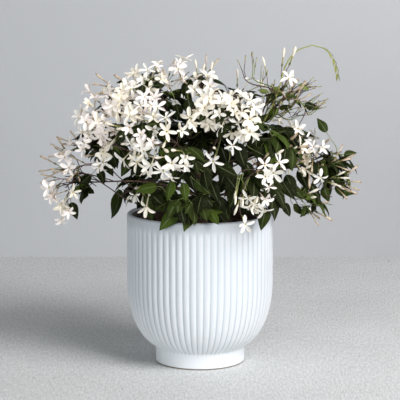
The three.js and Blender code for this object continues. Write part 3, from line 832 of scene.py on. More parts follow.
def pot_profile(pot):
    """Rows of (radius, height) round the nursery pot's wall, from its base up and back inside."""
    inside = pot.rim_radius - pot.rim_width
    shoulder = pot.top - pot.rim_height
    edge = pot.rim_round
    rows = [(MM / 2, pot.seat), (pot.base_radius - edge, pot.seat),
            (pot.base_radius, pot.seat + edge)]
    for share in steps(12)[1:]:
        rows.append((mixed(pot.base_radius, inside + pot.wall, share),
                     mixed(pot.seat + edge, shoulder, share)))
    rows += [(pot.rim_radius - edge / 2, shoulder), (pot.rim_radius, shoulder + edge / 2)]
    rows += [(pot.rim_radius - edge + edge * c, pot.top - edge + edge * s) for s, c in quarter(4)]
    rows += [(inside + edge / 2 * (1 - s), pot.top - edge / 2 * (1 - c)) for s, c in quarter(4)]
    rows += [(inside - pot.wall / 4, shoulder), (pot.base_radius - pot.wall, pot.seat + pot.wall),
             (MM / 2, pot.seat + pot.wall)]
    return rows


class JASMINE_OT_nursery_pot(bpy.types.Operator):
    """Turn the thin nursery pot that stands in the planter"""

    bl_idname = "jasmine.nursery_pot"
    bl_label = "Nursery pot"

    def execute(self, context):
        pot = context.scene.jasmine_pot
        ware = Cuttings()
        ware.add(*turned(pot_profile(pot), POT_COLUMNS))
        ware.build("nursery_pot_ware", [plastic_finish(pot)], "nursery_plastic", ["nursery_pot"])
        return {"FINISHED"}


def rough(points, scale, depth):
    """Cloudy relief from -depth to depth at each point, with scale clouds to a metre."""
    heights = [noise.fractal(Vector(point) * scale, *CRUMBLE) for point in points]
    return np.array(heights) * depth


class JASMINE_OT_soil(bpy.types.Operator):
    """Fill the nursery pot with crumbling soil and chips of bark"""

    bl_idname = "jasmine.soil"
    bl_label = "Soil"

    def execute(self, context):
        pot = context.scene.jasmine_pot
        random = np.random.default_rng(CHIP_SEED)
        low, level = soil_low[2], pot.soil_top - pot.soil_lumps
        rows = [(MM / 2, low), (pot.base_radius - pot.wall - 2 * MM, low),
                (pot.soil_radius - MM, pot.soil_top - 8 * MM)]
        rows += [(pot.soil_radius * share, level) for share in np.linspace(1, 0, 48)[:-1]]
        rows.append((MM / 4, level))
        points, faces = turned(rows, SOIL_COLUMNS)
        top = points[:, 2] > pot.soil_top - 4 * MM
        points[top, 2] += np.clip(rough(points[top], 210, pot.soil_lumps), -MM, pot.soil_lumps)
        bed = Cuttings()
        bed.add(points, faces)
        for _ in range(pot.chips):
            bed.add(self.chip(pot, random), BLOCK_FACES, 1)
        bed.build("soil_bed", [soil_finish(pot), chip_finish(pot)], "soil", ["soil"])
        return {"FINISHED"}

    def chip(self, pot, random):
        """The points of one chip, which lies askew on the soil."""
        reach = (pot.soil_radius - 4 * MM) * math.sqrt(random.random())
        bearing = random.random() * TAU
        size = random.uniform(*CHIP_SIZES)
        shape = (BLOCK + random.uniform(-0.16, 0.16, BLOCK.shape)) * size
        along = unit(np.append(random.normal(size=2), random.normal() * 0.2))
        face = UP + random.normal(size=3) * 0.35
        foot = [reach * math.cos(bearing), reach * math.sin(bearing), pot.soil_top - 0.8 * MM]
        return planted_once(shape, np.array(foot), along, face)


# The habit of the plant: the rule by which its masses of foliage grow

HEART = np.array([0, 0, 190]) * MM  # every mass of foliage looks away from this point
TRUNK_LEAN = np.array([2, 1]) * MM
TRUNK_FOOT = np.array([0, 0, soil_high[2]])
TRUNK_HEAD = np.array([*TRUNK_LEAN, trunk_high[2]])
CLEARANCE = 0.3 * MM

# Stems and twigs, as shares of a mass's reach, of its stem's length or of a direction
STEM_PAST = 0.25
FIRST_TWIG, LAST_TWIG = 0.12, 0.98
LEAN, LIFT = 0.55, 0.1
LEAST_MAIN, LEAST_FINE = 0.3, 0.25
OVERHANG = 1.18

GOLDEN_TURN = math.pi * (3 - math.sqrt(5))  # from one twig round to the next
FINER = 2.5  # how many fine twigs grow for each main twig
FINER_YOUNG = 1.8  # times as many in young budding growth
LEAF_TRIES, BLOOM_TRIES = 4, 6  # to find room
SHORTEST_TWIG = 6 * MM
TRESPASS = 4 * MM  # how far a main twig may reach into a neighbour's space
RUN_UP = 14 * MM  # how far behind what is placed its twig looks for a hold
PAIR_GAP = 2.6 * MM  # between pairs of flowers or buds along a twig
HANG_START, HANG_RANGE = 225 * MM, 50 * MM  # flowers hang more and more below that height

# Boughs, as shares of their span or of the trunk's height
LEAVE, ARRIVE = 0.45, 0.3
LOWEST_BOUGH, HIGHEST_BOUGH = 0.16, 0.92
SWING, SHIFT, TRIES = 0.19, 0.03, 90  # the steps aside and down by which each bough is tried
WALK, WELL_INSIDE = 60, 3  # steps from a mass's middle to the heart, and steps back from its edge

# The radius of each kind of limb at its foot and at its tip
STEM = (0.8 * MM, 0.7 * MM)
MAIN_TWIG = (0.65 * MM, 0.45 * MM)
FINE_TWIG = (0.5 * MM, 0.36 * MM)
YOUNG_TWIG = (0.7 * MM, 0.45 * MM)
PLACED_STEM = (0.8 * MM, 0.5 * MM)
PLACED_TWIG = (0.6 * MM, 0.38 * MM)
LEAF_TWIG = (0.45 * MM, 0.34 * MM)
LEAF_STALK = (0.4 * MM, 0.3 * MM)
FLOWER_STALK = (0.34 * MM, 0.34 * MM)
YOUNG_STALK = (0.42 * MM, 0.42 * MM)

# How far growth keeps from the planter's wall, the nursery pot's rim, the soil and the lip
WALL_GAP = 1.5 * MM
RIM_GAP = 5 * MM
SOIL_GAP = 1 * MM
LIP_GAP = 3 * MM
BESIDE_LIP = 20 * MM


class Mass:
    """One mass of foliage. at is its middle and reach its half extents, both in millimetres.

    twigs is how many main twigs it has, and the next three numbers are the mean number of leaf
    pairs, flowers and buds on each in the plain model. fresh is the share of its leaves that are in
    good light, blush the share of its flowers and stalks that are flushed pink, and leaf_size the
    size of its leaves beside a full one."""

    def __init__(self, name, at, reach, twigs, leaf_pairs, flowers, buds, fresh, blush, leaf_size):
        self.name = name
        self.at = np.array(at) * MM
        self.reach = np.array(reach) * MM
        self.twigs = twigs
        self.leaf_pairs = leaf_pairs
        self.flowers = flowers
        self.buds = buds
        # fresh is the share of its leaves given the paler colour of painted light
        self.fresh = fresh
        self.blush = blush
        self.leaf_size = leaf_size
        self.out = unit(self.at - HEART)


MASSES = [
    Mass("left_low", [-121, -5, 186], [46, 38, 28], 7, 0.4, 0.1, 0.8, 0.1, 0.8, 0.7),
    Mass("left_middle", [-106, 0, 231], [32, 38, 30], 6, 0.8, 0.9, 0.3, 0.1, 0.5, 0.75),
    Mass("left_upper", [-82, 0, 268], [32, 36, 26], 6, 0.8, 0.8, 0.2, 0.1, 0.4, 0.75),
    Mass("top_left", [-50, 8, 287], [28, 32, 27], 5, 0.8, 0.8, 0.2, 0.1, 0.3, 0.75),
    Mass("top_middle", [0, 0, 289], [35, 34, 24], 6, 0.8, 0.8, 0.3, 0.1, 0.3, 0.8),
    Mass("front_left", [-56, -62, 245], [33, 33, 30], 6, 1.5, 0.9, 0.1, 0.2, 0.2, 0.8),
    Mass("front_middle", [-18, -78, 222], [32, 32, 30], 6, 1.2, 0.9, 0.1, 0.2, 0.1, 0.9),
    Mass("centre_right", [29, -60, 262], [34, 34, 30], 7, 1, 1, 0.1, 0.2, 0, 0.9),
    Mass("right_upper", [86, 0, 272], [39, 38, 37], 7, 0.3, 0.1, 1.8, 0.5, 0.4, 0.6),
    Mass("right_inner", [79, -38, 234], [31, 32, 26], 5, 1.9, 0.3, 0.3, 0.1, 0.2, 1.2),
    Mass("right_outer", [131, 0, 205], [38, 38, 35], 7, 1.5, 0.3, 0.6, 0.15, 0.3, 0.95),
    Mass("right_low", [110, -18, 172], [42, 36, 22], 6, 0.5, 0, 0.6, 0.4, 0.3, 0.8),
    Mass("front_right", [56, -70, 196], [33, 32, 32], 6, 2.2, 0.5, 0.5, 0.1, 0.2, 1),
    Mass("front_low", [-8, -62, 174], [40, 30, 25], 7, 1.9, 0, 0, 0.1, 0, 1),
    Mass("front_low_left", [-64, -45, 178], [30, 32, 27], 5, 0.2, 0, 0.2, 0.2, 0.2, 0.85),
    Mass("heart", [2, 5, 230], [44, 40, 36], 6, 2.4, 0, 0, 0, 0, 1.15),
    Mass("back_left", [-86, 78, 220], [38, 38, 36], 6, 1, 0.4, 0, 0.2, 0.4, 0.9),
    Mass("back_middle", [0, 96, 220], [42, 36, 38], 6, 1, 0.4, 0, 0.2, 0.2, 0.9),
    Mass("back_right", [88, 76, 214], [38, 38, 36], 6, 1, 0.4, 0, 0.2, 0.2, 0.9),
    Mass("back_top_left", [-42, 62, 268], [34, 34, 30], 5, 1, 0.5, 0, 0.2, 0.3, 0.9),
    Mass("back_top_right", [38, 62, 266], [34, 34, 30], 5, 1, 0.5, 0, 0.2, 0.2, 0.9),
    Mass("back_low_left", [-52, 64, 178], [38, 32, 25], 5, 1.4, 0, 0, 0.2, 0.2, 0.85),
    Mass("back_low_right", [48, 64, 176], [38, 32, 25], 5, 1.4, 0, 0, 0.2, 0.2, 0.85),
]
CENTRES = np.array([mass.at for mass in MASSES])
MEAN_REACHES = np.array([mass.reach.mean() for mass in MASSES])
FOLIAGE_NODES = ["foliage_" + mass.name for mass in MASSES]
BOUGH_NODES = ["bough_" + mass.name for mass in MASSES]


def seeded(seed):
    """Repeatable numbers from 0 to 1."""
    whole = 0xFFFFFFFF
    state = (seed * 0x9E3779B1) & whole

    def draw():
        nonlocal state
        state = (state + 0x6D2B79F5) & whole
        stirred = ((state ^ (state >> 15)) * (state | 1)) & whole
        stirred ^= (stirred + (stirred ^ (stirred >> 7)) * (stirred | 61)) & whole
        return ((stirred ^ (stirred >> 14)) & whole) / (whole + 1)

    return draw


def jitter(random, amount):
    return np.array([random() * 2 - 1 for _ in range(3)]) * amount


def is_own(number, point, slack=0.0):
    """Whether a point is in the space of that mass, which ends where a neighbour's begins."""
    mass = MASSES[number]
    powers = ((point - CENTRES) ** 2).sum(axis=1) - MEAN_REACHES**2
    apart = norm(CENTRES - mass.at, axis=1)
    nearer = powers - powers[number] > (2 * CLEARANCE - slack) * apart
    nearer[number] = True
    return norm((point - mass.at) / mass.reach) < OVERHANG and nearer.all()


def spread_direction(number, total, turn, out):
    """Evenly spread directions, leaning away from the heart."""
    height = 1 - 2 * (number + 0.5) / total
    ring = math.sqrt(1 - height * height)
    bearing = turn + number * GOLDEN_TURN
    way = np.array([ring * math.cos(bearing), ring * math.sin(bearing), height])
    return unit(way + LEAN * out + LIFT * UP)


def share_of(rate, number):
    """How many the twig with this number carries, so that all together come to the mean rate."""
    return math.floor((number + 1) * rate + 0.5) - math.floor(number * rate + 0.5)


def root_of(number):
    """Where a mass's bough ends: the last point towards the heart that is well inside its space."""
    walk = [mixed(MASSES[number].at, HEART, step / WALK) for step in range(WALK + 1)]
    outside = [step for step, point in enumerate(walk) if not is_own(number, point)]
    end = outside[0] if outside else len(walk)
    return walk[max(0, end - WELL_INSIDE)]


def bough_controls(mass, root, height, turn):
    """The control points of a bough that leaves the trunk at that share of its height."""
    foot = mixed(TRUNK_FOOT, TRUNK_HEAD, height)
    span = norm(root - foot)
    climb = min(1, max(0.15, (root[2] - foot[2]) / span))
    outward = unit(np.array([math.cos(turn), math.sin(turn), 0.25 + climb]))
    arrival = unit(mass.at - root)
    return [foot, foot + outward * span * LEAVE, root - arrival * span * ARRIVE, root]


@cache
def bough_curves():
    """Each mass's bough. It swings aside to pass its neighbours, as far as its plain node did."""
    roots = [root_of(number) for number in range(len(MASSES))]
    steepness = [unit(root - TRUNK_HEAD)[2] for root in roots]
    curves = {}
    for rank, number in enumerate(np.argsort(steepness, kind="stable")):
        mass, root = MASSES[number], roots[number]
        height = LOWEST_BOUGH + (HIGHEST_BOUGH - LOWEST_BOUGH) * rank / (len(MASSES) - 1)
        bearing = math.atan2(root[1] - TRUNK_HEAD[1], root[0] - TRUNK_HEAD[0])
        node_box = np.array(box_of("bough_" + mass.name))
        best = None
        for attempt in range(TRIES):
            swing = math.ceil(attempt / 2) * (1 if attempt % 2 else -1) * SWING
            shift = attempt % 5 * SHIFT
            controls = bough_controls(mass, root, height - shift, bearing + swing)
            line = bezier(controls, steps(4))[1:]
            gap = np.abs(np.array([line.min(axis=0), line.max(axis=0)]) - node_box).sum()
            if best is None or gap < best[0]:
                best = (gap, controls)
        curves[mass.name] = best[1]
    return curves


class Limb(NamedTuple):
    """A stem, twig or stalk along a line of points, with its radius at its foot and at its tip."""

    line: np.ndarray
    radii: tuple
    kind: int


class Growth(NamedTuple):
    """A leaflet, flower or bud: where it begins, which way it points and faces, and its size."""

    foot: np.ndarray
    along: np.ndarray
    face: np.ndarray
    size: float
    kind: int


# The kinds of limbs, leaflets, flowers and buds
DARK_STEM, GREEN_STEM, RED_STEM = range(3)
# Among the leaf kinds, two are painted shade, darker copies of the green, and one is painted light,
# a paler copy
SHADED_LEAF, GREEN, LIT_LEAF, YOUNG, DARKEST_SHADED_LEAF = range(5)
WHITE, CREAM, BLUSH = range(3)
PALE, TAN, RED = range(3)

DARKEST_SHADE_MASSES = ("heart", "front_low")  # those whose leaves get the darkest painted shade

# The sprays that give this plant its outline, by the mass that each belongs to: where its flowers'
# stalks begin in millimetres, which way it points, its flowers, its buds and the kind of its buds.
SPRAYS = [
    ("left_low", [
        ((-130, -15, 216), (-1, -0.1, 0.5), 0, 5, TAN),
        ((-117, -20, 223), (-0.9, -0.3, 0.45), 0, 4, TAN),
        ((-112, -24, 206), (-0.9, -0.4, 0), 0, 4, TAN),
        ((-134, -12, 202), (-1, -0.1, 0.1), 0, 5, TAN),
        ((-135, -14, 191), (-1, -0.2, 0.05), 0, 3, TAN),
        ((-142, -17, 186), (-0.4, -1, -0.1), 3, 0, TAN),
        ((-132, -17, 178), (-0.1, -1, -0.1), 4, 0, TAN),
        ((-135, -19, 168), (-0.1, -1, -0.5), 2, 0, TAN),
        ((-124, -15, 204), (-0.3, -1, 0.15), 2, 3, TAN),
    ]),
    ("left_middle", [
        ((-104, -25, 257), (-0.15, -1, 0.5), 4, 0, TAN),
        ((-93, -28, 256), (0.15, -1, 0.5), 3, 0, TAN),
        ((-108, -27, 242), (-0.15, -1, 0.4), 4, 0, TAN),
        ((-98, -31, 242), (0.2, -1, 0.4), 3, 0, TAN),
        ((-112, -27, 228), (-0.15, -1, 0.3), 4, 0, TAN),
        ((-99, -31, 230), (0.2, -1, 0.3), 4, 0, TAN),
        ((-99, -31, 218), (0.15, -1, 0.15), 3, 1, TAN),
        ((-88, -32, 238), (0.1, -1, 0.1), 1, 4, PALE),
    ]),
    ("left_upper", [
        ((-97, -2, 262), (-0.6, 0, 0.8), 1, 0, TAN),
        ((-85, -2, 282), (-1, -0.1, 0.15), 0, 5, TAN),
        ((-66, -24, 272), (-0.1, -0.8, 0.6), 5, 1, PALE),
        ((-70, -35, 269), (-0.2, -1, 0.2), 7, 0, PALE),
        ((-59, -37, 267), (0.1, -1, 0.1), 6, 0, PALE),
        ((-76, -31, 269), (-0.4, -0.9, 0.4), 5, 1, PALE),
        ((-54, -31, 264), (0.3, -0.9, 0.2), 3, 0, PALE),
    ]),
    ("front_left", [
        ((-62, -60, 250), (-0.2, -1, 0), 3, 5, PALE),
        ((-44, -56, 256), (0.1, -0.9, 0.2), 3, 5, PALE),
        ((-76, -52, 246), (-0.6, -0.8, -0.2), 1, 5, PALE),
        ((-60, -66, 240), (-0.3, -1, -0.4), 2, 4, PALE),
        ((-60, -62, 232), (-0.7, -0.6, -0.6), 1, 5, PALE),
    ]),
    ("top_left", [
        ((-51, -8, 288), (0, -0.8, 0.8), 8, 0, PALE),
        ((-62, -10, 278), (-0.5, -0.7, 0.4), 3, 1, TAN),
        ((-36, -6, 285), (0.6, -0.3, 0.7), 0, 4, TAN),
    ]),
    ("top_middle", [
        ((-20, -7, 291), (-0.05, -0.6, 1), 4, 1, RED),
        ((-1, -7, 287), (-0.1, -0.05, 1), 0, 2, PALE),
        ((5, -7, 288), (0.05, -0.05, 1), 0, 2, TAN),
        ((10, -6, 285), (0.1, 0, 1), 0, 1, PALE),
        ((1, -11, 276), (-0.1, -0.7, 1), 4, 5, PALE),
        ((6, -11, 275), (0.2, -0.8, 0.5), 4, 1, PALE),
        ((6, -19, 272), (0, -0.9, 0.2), 1, 3, PALE),
    ]),
    ("front_middle", [
        ((-32, -79, 242), (0, -1, 0.25), 2, 1, PALE),
        ((-21, -75, 242), (0.2, -1, 0.2), 1, 1, PALE),
        ((-12, -69, 262), (0.2, -1, -0.3), 1, 1, PALE),
        ((-42, -82, 232), (-0.4, -1, -0.2), 3, 2, PALE),
        ((-52, -76, 222), (-0.3, -1, -0.4), 3, 2, PALE),
        ((-16, -86, 226), (0.1, -1, -0.6), 3, 2, PALE),
        ((-30, -84, 220), (-0.1, -1, -0.6), 3, 2, PALE),
    ]),
    ("centre_right", [
        ((34, -68, 235), (-0.1, -1, -0.1), 1, 0, PALE),
        ((-1, -66, 264), (-0.2, -1, -0.3), 1, 1, PALE),
        ((9, -59, 264), (-0.2, -1, 0.3), 5, 0, PALE),
        ((16, -58, 266), (0, -1, 0.4), 6, 0, PALE),
        ((26, -61, 264), (0.2, -0.9, 0.5), 7, 1, PALE),
        ((36, -61, 264), (0.5, -0.8, 0.4), 7, 1, PALE),
        ((30, -66, 258), (0.2, -1, 0.3), 8, 0, PALE),
        ((42, -68, 247), (0.4, -1, 0), 4, 0, PALE),
        ((41, -64, 256), (0.5, -0.9, 0.1), 6, 0, PALE),
        ((15, -65, 261), (-0.3, -1, 0), 3, 2, PALE),
        ((23, -67, 259), (-0.1, -1, 0.1), 3, 1, PALE),
    ]),
    ("front_right", [
        ((16, -76, 226), (-0.1, -1, -0.3), 1, 1, PALE),
        ((57, -69, 214), (0.4, -1, 0), 1, 3, TAN),
        ((65, -65, 207), (0.5, -0.9, 0), 2, 2, TAN),
        ((60, -72, 200), (0.3, -1, -0.4), 2, 2, PALE),
        ((37, -86, 204), (-0.25, -0.1, -1), 0, 4, PALE),
        ((44, -88, 198), (-0.35, -0.1, -1), 0, 4, PALE),
        ((40, -88, 165), (0.1, -1, 0.35), 1, 0, PALE),
        ((54, -82, 191), (0.1, -0.9, -0.8), 4, 1, PALE),
        ((58, -78, 190), (0.3, -0.8, -0.9), 3, 1, PALE),
        ((63, -66, 216), (1, -0.5, 0.05), 0, 4, PALE),
    ]),
    ("right_inner", [
        ((97, -18, 242), (0.2, -1, 0.2), 1, 0, TAN),
        ((80, -44, 216), (1, -0.3, 0.25), 0, 5, TAN),
        ((85, -30, 221), (0.7, -0.8, 0.3), 1, 4, TAN),
        ((80, -42, 222), (0.9, -0.5, 0.2), 0, 4, TAN),
        ((92, -34, 210), (0.9, -0.5, 0.1), 0, 4, PALE),
    ]),
    ("right_upper", [
        ((44, -2, 295), (-0.25, 0, 1), 0, 2, RED),
        ((53, -3, 297), (0.1, 0, 1), 0, 3, RED),
        ((61, -5, 286), (0.1, 0, 1), 0, 3, RED),
        ((112, -7, 256), (0.9, -0.2, 0.6), 0, 5, RED),
        ((102, -6, 282), (0.8, -0.2, 0.5), 0, 5, RED),
        ((92, -8, 278), (0.3, -0.3, 0.9), 0, 4, RED),
        ((68, -4, 288), (0, 0, 1), 0, 1, PALE),
        ((82, -4, 297), (0.05, 0, 1), 0, 1, PALE),
        ((88, -6, 302), (0.5, -0.3, 0.8), 0, 1, PALE),
        ((70, -6, 270), (0.3, -0.2, 1), 0, 6, RED),
        ((100, -6, 274), (0.7, -0.2, 0.8), 0, 5, RED),
        ((84, -8, 282), (0.2, -0.8, 0.5), 1, 1, PALE),
        ((92, -12, 262), (0.4, -0.5, 0.8), 0, 5, TAN),
        ((108, -4, 264), (1, 0, 0.35), 0, 6, RED),
        ((76, -8, 264), (0, -0.2, 1), 0, 5, RED),
        ((72, -20, 252), (0.6, -0.3, 0.8), 0, 6, RED),
        ((84, -18, 256), (0.7, -0.3, 0.7), 0, 6, RED),
        ((94, -14, 252), (0.9, -0.3, 0.5), 0, 5, RED),
        ((64, -14, 262), (0.3, -0.3, 1), 0, 6, RED),
    ]),
    ("right_outer", [
        ((119, -14, 224), (0.1, -1, 0), 1, 2, TAN),
        ((114, -18, 218), (-0.2, -1, -0.1), 2, 1, TAN),
        ((110, -20, 210), (-0.2, -0.9, -0.3), 1, 3, TAN),
        ((119, -20, 206), (0.1, -0.9, -0.4), 1, 2, TAN),
        ((138, -14, 186), (0.85, -0.2, 0.65), 0, 6, TAN),
        ((130, -20, 204), (0.8, -0.3, 0.6), 0, 5, TAN),
        ((128, -18, 192), (0.9, -0.3, 0.3), 0, 4, PALE),
    ]),
    ("right_low", [
        ((104, -24, 163), (1, -0.1, -0.1), 0, 4, TAN),
        ((98, -28, 172), (0.9, -0.3, 0.3), 0, 3, PALE),
    ]),
    ("right_inner", [
        ((78, -44, 218), (0.8, -0.6, 0.45), 0, 3, PALE),
    ]),
    ("right_upper", [
        ((80, -12, 270), (0.8, -0.4, 0.4), 0, 3, TAN),
    ]),
    ("front_low_left", [
        ((-56, -50, 190), (-0.3, -0.9, -0.2), 1, 3, PALE),
        ((-50, -55, 184), (-0.1, -0.9, -0.3), 1, 1, PALE),
    ]),
]

PLACED = np.array([foot for _, rows in SPRAYS for foot, *_ in rows]) * MM
CLAIM = 32 * MM  # no other spray grows this near to one of them

# The leaflets that stand out: where each begins, which way it points, its length, its kind and, for
# some, which way it faces. Places and lengths are in millimetres.
LEAVES = [
    ((-83, -10, 180), (0.05, 0, -1), 35, GREEN, (0.85, -0.6, 0)),
    ((-57, -26, 176), (-0.5, -0.4, -0.7), 19, SHADED_LEAF, (0, 0.8, 0.4)),
    ((-53, -34, 179), (-0.4, -0.5, -0.75), 22, SHADED_LEAF, (0, 0.8, 0.4)),
    ((-46, -42, 180), (-0.2, -0.6, -0.75), 24, GREEN, (0, 0.8, 0.4)),
    ((-38, -48, 181), (-0.1, -0.6, -0.75), 24, SHADED_LEAF, (0, 0.8, 0.4)),
    ((-110, -18, 196), (-0.8, -0.2, -0.6), 18, SHADED_LEAF),
    ((-116, -18, 188), (-0.6, -0.2, -0.8), 15, SHADED_LEAF),
    ((-102, -20, 202), (0.4, -0.2, -0.9), 17, SHADED_LEAF),
    ((-96, -22, 210), (0.5, -0.4, -0.7), 18, SHADED_LEAF),
    ((-131, -14, 167), (0.35, 0, -1), 20, SHADED_LEAF),
    ((-88, -26, 222), (0.2, -0.5, -0.9), 20, SHADED_LEAF),
    ((-78, -34, 222), (0.5, -0.5, -0.8), 22, SHADED_LEAF),
    ((-70, -40, 214), (-0.3, -0.5, -0.8), 20, GREEN),
    ((-73, 0, 288), (-1, 0, 0.05), 13, SHADED_LEAF),
    ((-56, -44, 288), (-0.1, -0.9, -0.5), 15, SHADED_LEAF),
    ((-46, -34, 287), (1, -0.4, 0.1), 12, SHADED_LEAF),
    ((-24, -24, 268), (0.2, -0.8, -0.6), 20, SHADED_LEAF),
    ((-14, -28, 264), (0.8, -0.6, 0.2), 22, SHADED_LEAF),
    ((56, -44, 220), (0, -0.1, 1), 34, SHADED_LEAF),
    ((68, -36, 234), (1, -0.2, 0.45), 32, SHADED_LEAF),
    ((62, -50, 226), (0.5, -0.6, -0.5), 26, SHADED_LEAF),
    ((-12, -48, 204), (0.3, -0.6, -0.7), 24, DARKEST_SHADED_LEAF),
    ((2, -52, 214), (0.4, -0.6, -0.7), 25, DARKEST_SHADED_LEAF),
    ((14, -52, 212), (-0.3, -0.6, -0.8), 25, DARKEST_SHADED_LEAF),
    ((-22, -48, 202), (-0.3, -0.6, -0.7), 22, DARKEST_SHADED_LEAF),
    ((4, -54, 196), (-0.2, -0.7, -0.8), 24, DARKEST_SHADED_LEAF),
    ((-50, -48, 216), (0.3, -0.6, -0.8), 22, DARKEST_SHADED_LEAF),
    ((-38, -52, 212), (-0.3, -0.6, -0.8), 22, DARKEST_SHADED_LEAF),
    ((-58, -44, 212), (-0.5, -0.6, -0.5), 20, DARKEST_SHADED_LEAF),
    ((-50, -40, 232), (-0.4, -0.8, -0.4), 22, SHADED_LEAF),
    ((-66, -40, 236), (0.2, -0.8, -0.6), 22, SHADED_LEAF),
    ((-40, -44, 244), (0.3, -0.8, -0.5), 22, SHADED_LEAF),
    ((66, -48, 186), (0.4, -0.6, -0.7), 22, DARKEST_SHADED_LEAF),
    ((82, -42, 192), (0.5, -0.5, -0.7), 22, SHADED_LEAF),
    ((72, -44, 206), (0.3, -0.7, -0.7), 24, SHADED_LEAF),
    ((60, -50, 204), (-0.2, -0.7, -0.7), 24, DARKEST_SHADED_LEAF),
    ((44, -56, 200), (0.2, -0.7, -0.8), 25, DARKEST_SHADED_LEAF),
    ((90, -34, 186), (0.7, -0.5, -0.5), 20, GREEN),
    ((84, -34, 232), (0.7, -0.5, -0.4), 24, SHADED_LEAF),
    ((78, -36, 220), (0.6, -0.6, -0.6), 24, SHADED_LEAF),
    ((-42, -76, 192), (-1, -0.3, -0.1), 22, LIT_LEAF),
    ((-27, -80, 198), (-0.35, -0.4, -0.8), 21, LIT_LEAF),
    ((-16, -80, 196), (0.1, -0.4, -1), 19, LIT_LEAF),
    ((-5, -78, 198), (0.7, -0.4, -0.5), 21, GREEN),
    ((-23, -73, 168), (-0.75, -0.4, -0.75), 27, LIT_LEAF),
    ((-6, -76, 169), (-0.45, -0.65, -0.65), 25, LIT_LEAF),
    ((65, -63, 169), (-0.25, -0.4, -0.9), 24, GREEN),
    ((-53, -60, 178), (0.25, -0.2, -0.95), 24, GREEN, (0, -1, 0.2)),
    ((106, -6, 266), (1, -0.1, -0.15), 17, SHADED_LEAF),
    ((128, -8, 238), (-0.5, 0, 0.9), 18, GREEN),
    ((146, -8, 215), (0.8, 0, 0.1), 15, GREEN),
    ((140, -8, 206), (0.6, -0.2, 0.5), 15, SHADED_LEAF),
    ((137, -10, 180), (1, -0.1, -0.1), 23, GREEN),
    ((104, -24, 185), (0.4, -0.1, -0.9), 19, GREEN),
    ((112, -24, 186), (0.6, -0.1, -0.8), 19, SHADED_LEAF),
    ((124, -20, 184), (0.5, -0.1, -0.9), 19, GREEN),
    ((94, -28, 167), (0.8, -0.1, -0.5), 18, GREEN),
    ((84, -32, 169), (0.5, -0.1, -0.8), 17, SHADED_LEAF),
    ((22, -70, 178), (0.3, -0.5, -0.8), 23, SHADED_LEAF),
    ((36, -62, 174), (0.8, -0.4, -0.4), 22, DARKEST_SHADED_LEAF),
    ((48, -56, 172), (0.6, -0.5, -0.5), 20, DARKEST_SHADED_LEAF),
    ((14, -60, 172), (0.2, -0.6, -0.5), 22, DARKEST_SHADED_LEAF),
    ((4, -74, 206), (0.1, -0.8, -0.6), 24, DARKEST_SHADED_LEAF),
    ((16, -72, 212), (0.7, -0.6, -0.3), 26, SHADED_LEAF),
    ((10, -66, 196), (0.3, -0.7, -0.7), 25, DARKEST_SHADED_LEAF),
    ((-8, -74, 212), (-0.5, -0.7, -0.4), 24, DARKEST_SHADED_LEAF),
    ((26, -70, 200), (0.6, -0.6, -0.6), 26, DARKEST_SHADED_LEAF),
    ((-12, -36, 274), (0.2, -0.6, -0.8), 22, SHADED_LEAF),
    ((100, -24, 203), (0.3, -0.4, -0.8), 24, SHADED_LEAF),
    ((86, -36, 198), (0.4, -0.5, -0.8), 24, SHADED_LEAF),
    ((131, -16, 202), (0.6, -0.3, -0.6), 22, GREEN),
    ((110, -22, 212), (0.2, -0.6, -0.7), 24, SHADED_LEAF),
    ((36, -58, 232), (0.3, -0.5, -0.8), 28, DARKEST_SHADED_LEAF),
    ((44, -62, 214), (0.5, -0.5, -0.7), 27, DARKEST_SHADED_LEAF),
    ((28, -64, 214), (-0.3, -0.5, -0.8), 26, DARKEST_SHADED_LEAF),
    ((52, -60, 226), (0.7, -0.5, -0.3), 24, SHADED_LEAF),
    ((40, -64, 190), (0.2, -0.6, -0.6), 26, DARKEST_SHADED_LEAF),
    ((30, -62, 180), (0.5, -0.6, -0.3), 24, DARKEST_SHADED_LEAF),
    ((52, -58, 184), (-0.4, -0.6, -0.4), 24, DARKEST_SHADED_LEAF),
    ((60, -12, 250), (0.8, -0.3, 0.5), 16, GREEN),
    ((70, -14, 254), (0.7, -0.4, 0.7), 15, LIT_LEAF),
    ((80, -12, 262), (0.9, -0.3, 0.4), 14, GREEN),
    ((60, -8, 280), (0.9, -0.3, -0.1), 10, YOUNG),
    ((74, -8, 283), (0.9, -0.3, -0.4), 10, YOUNG),
    ((100, -8, 286), (0.9, -0.2, -0.3), 12, YOUNG),
]

# The bare stems that cross the open space over the lip or hang outside it, by the points that each
# passes, in millimetres.
BARE_STEMS = [
    [(-3, -2, 158), (-45, -22, 162), (-72, -26, 171), (-92, -26, 184), (-113, -24, 198)],
    [(-2, -2, 168), (-42, -20, 170), (-65, -26, 182), (-84, -26, 197), (-99, -24, 216)],
    [(44, -88, 198), (41, -91, 188), (38, -90, 178), (39, -86, 167)],
]


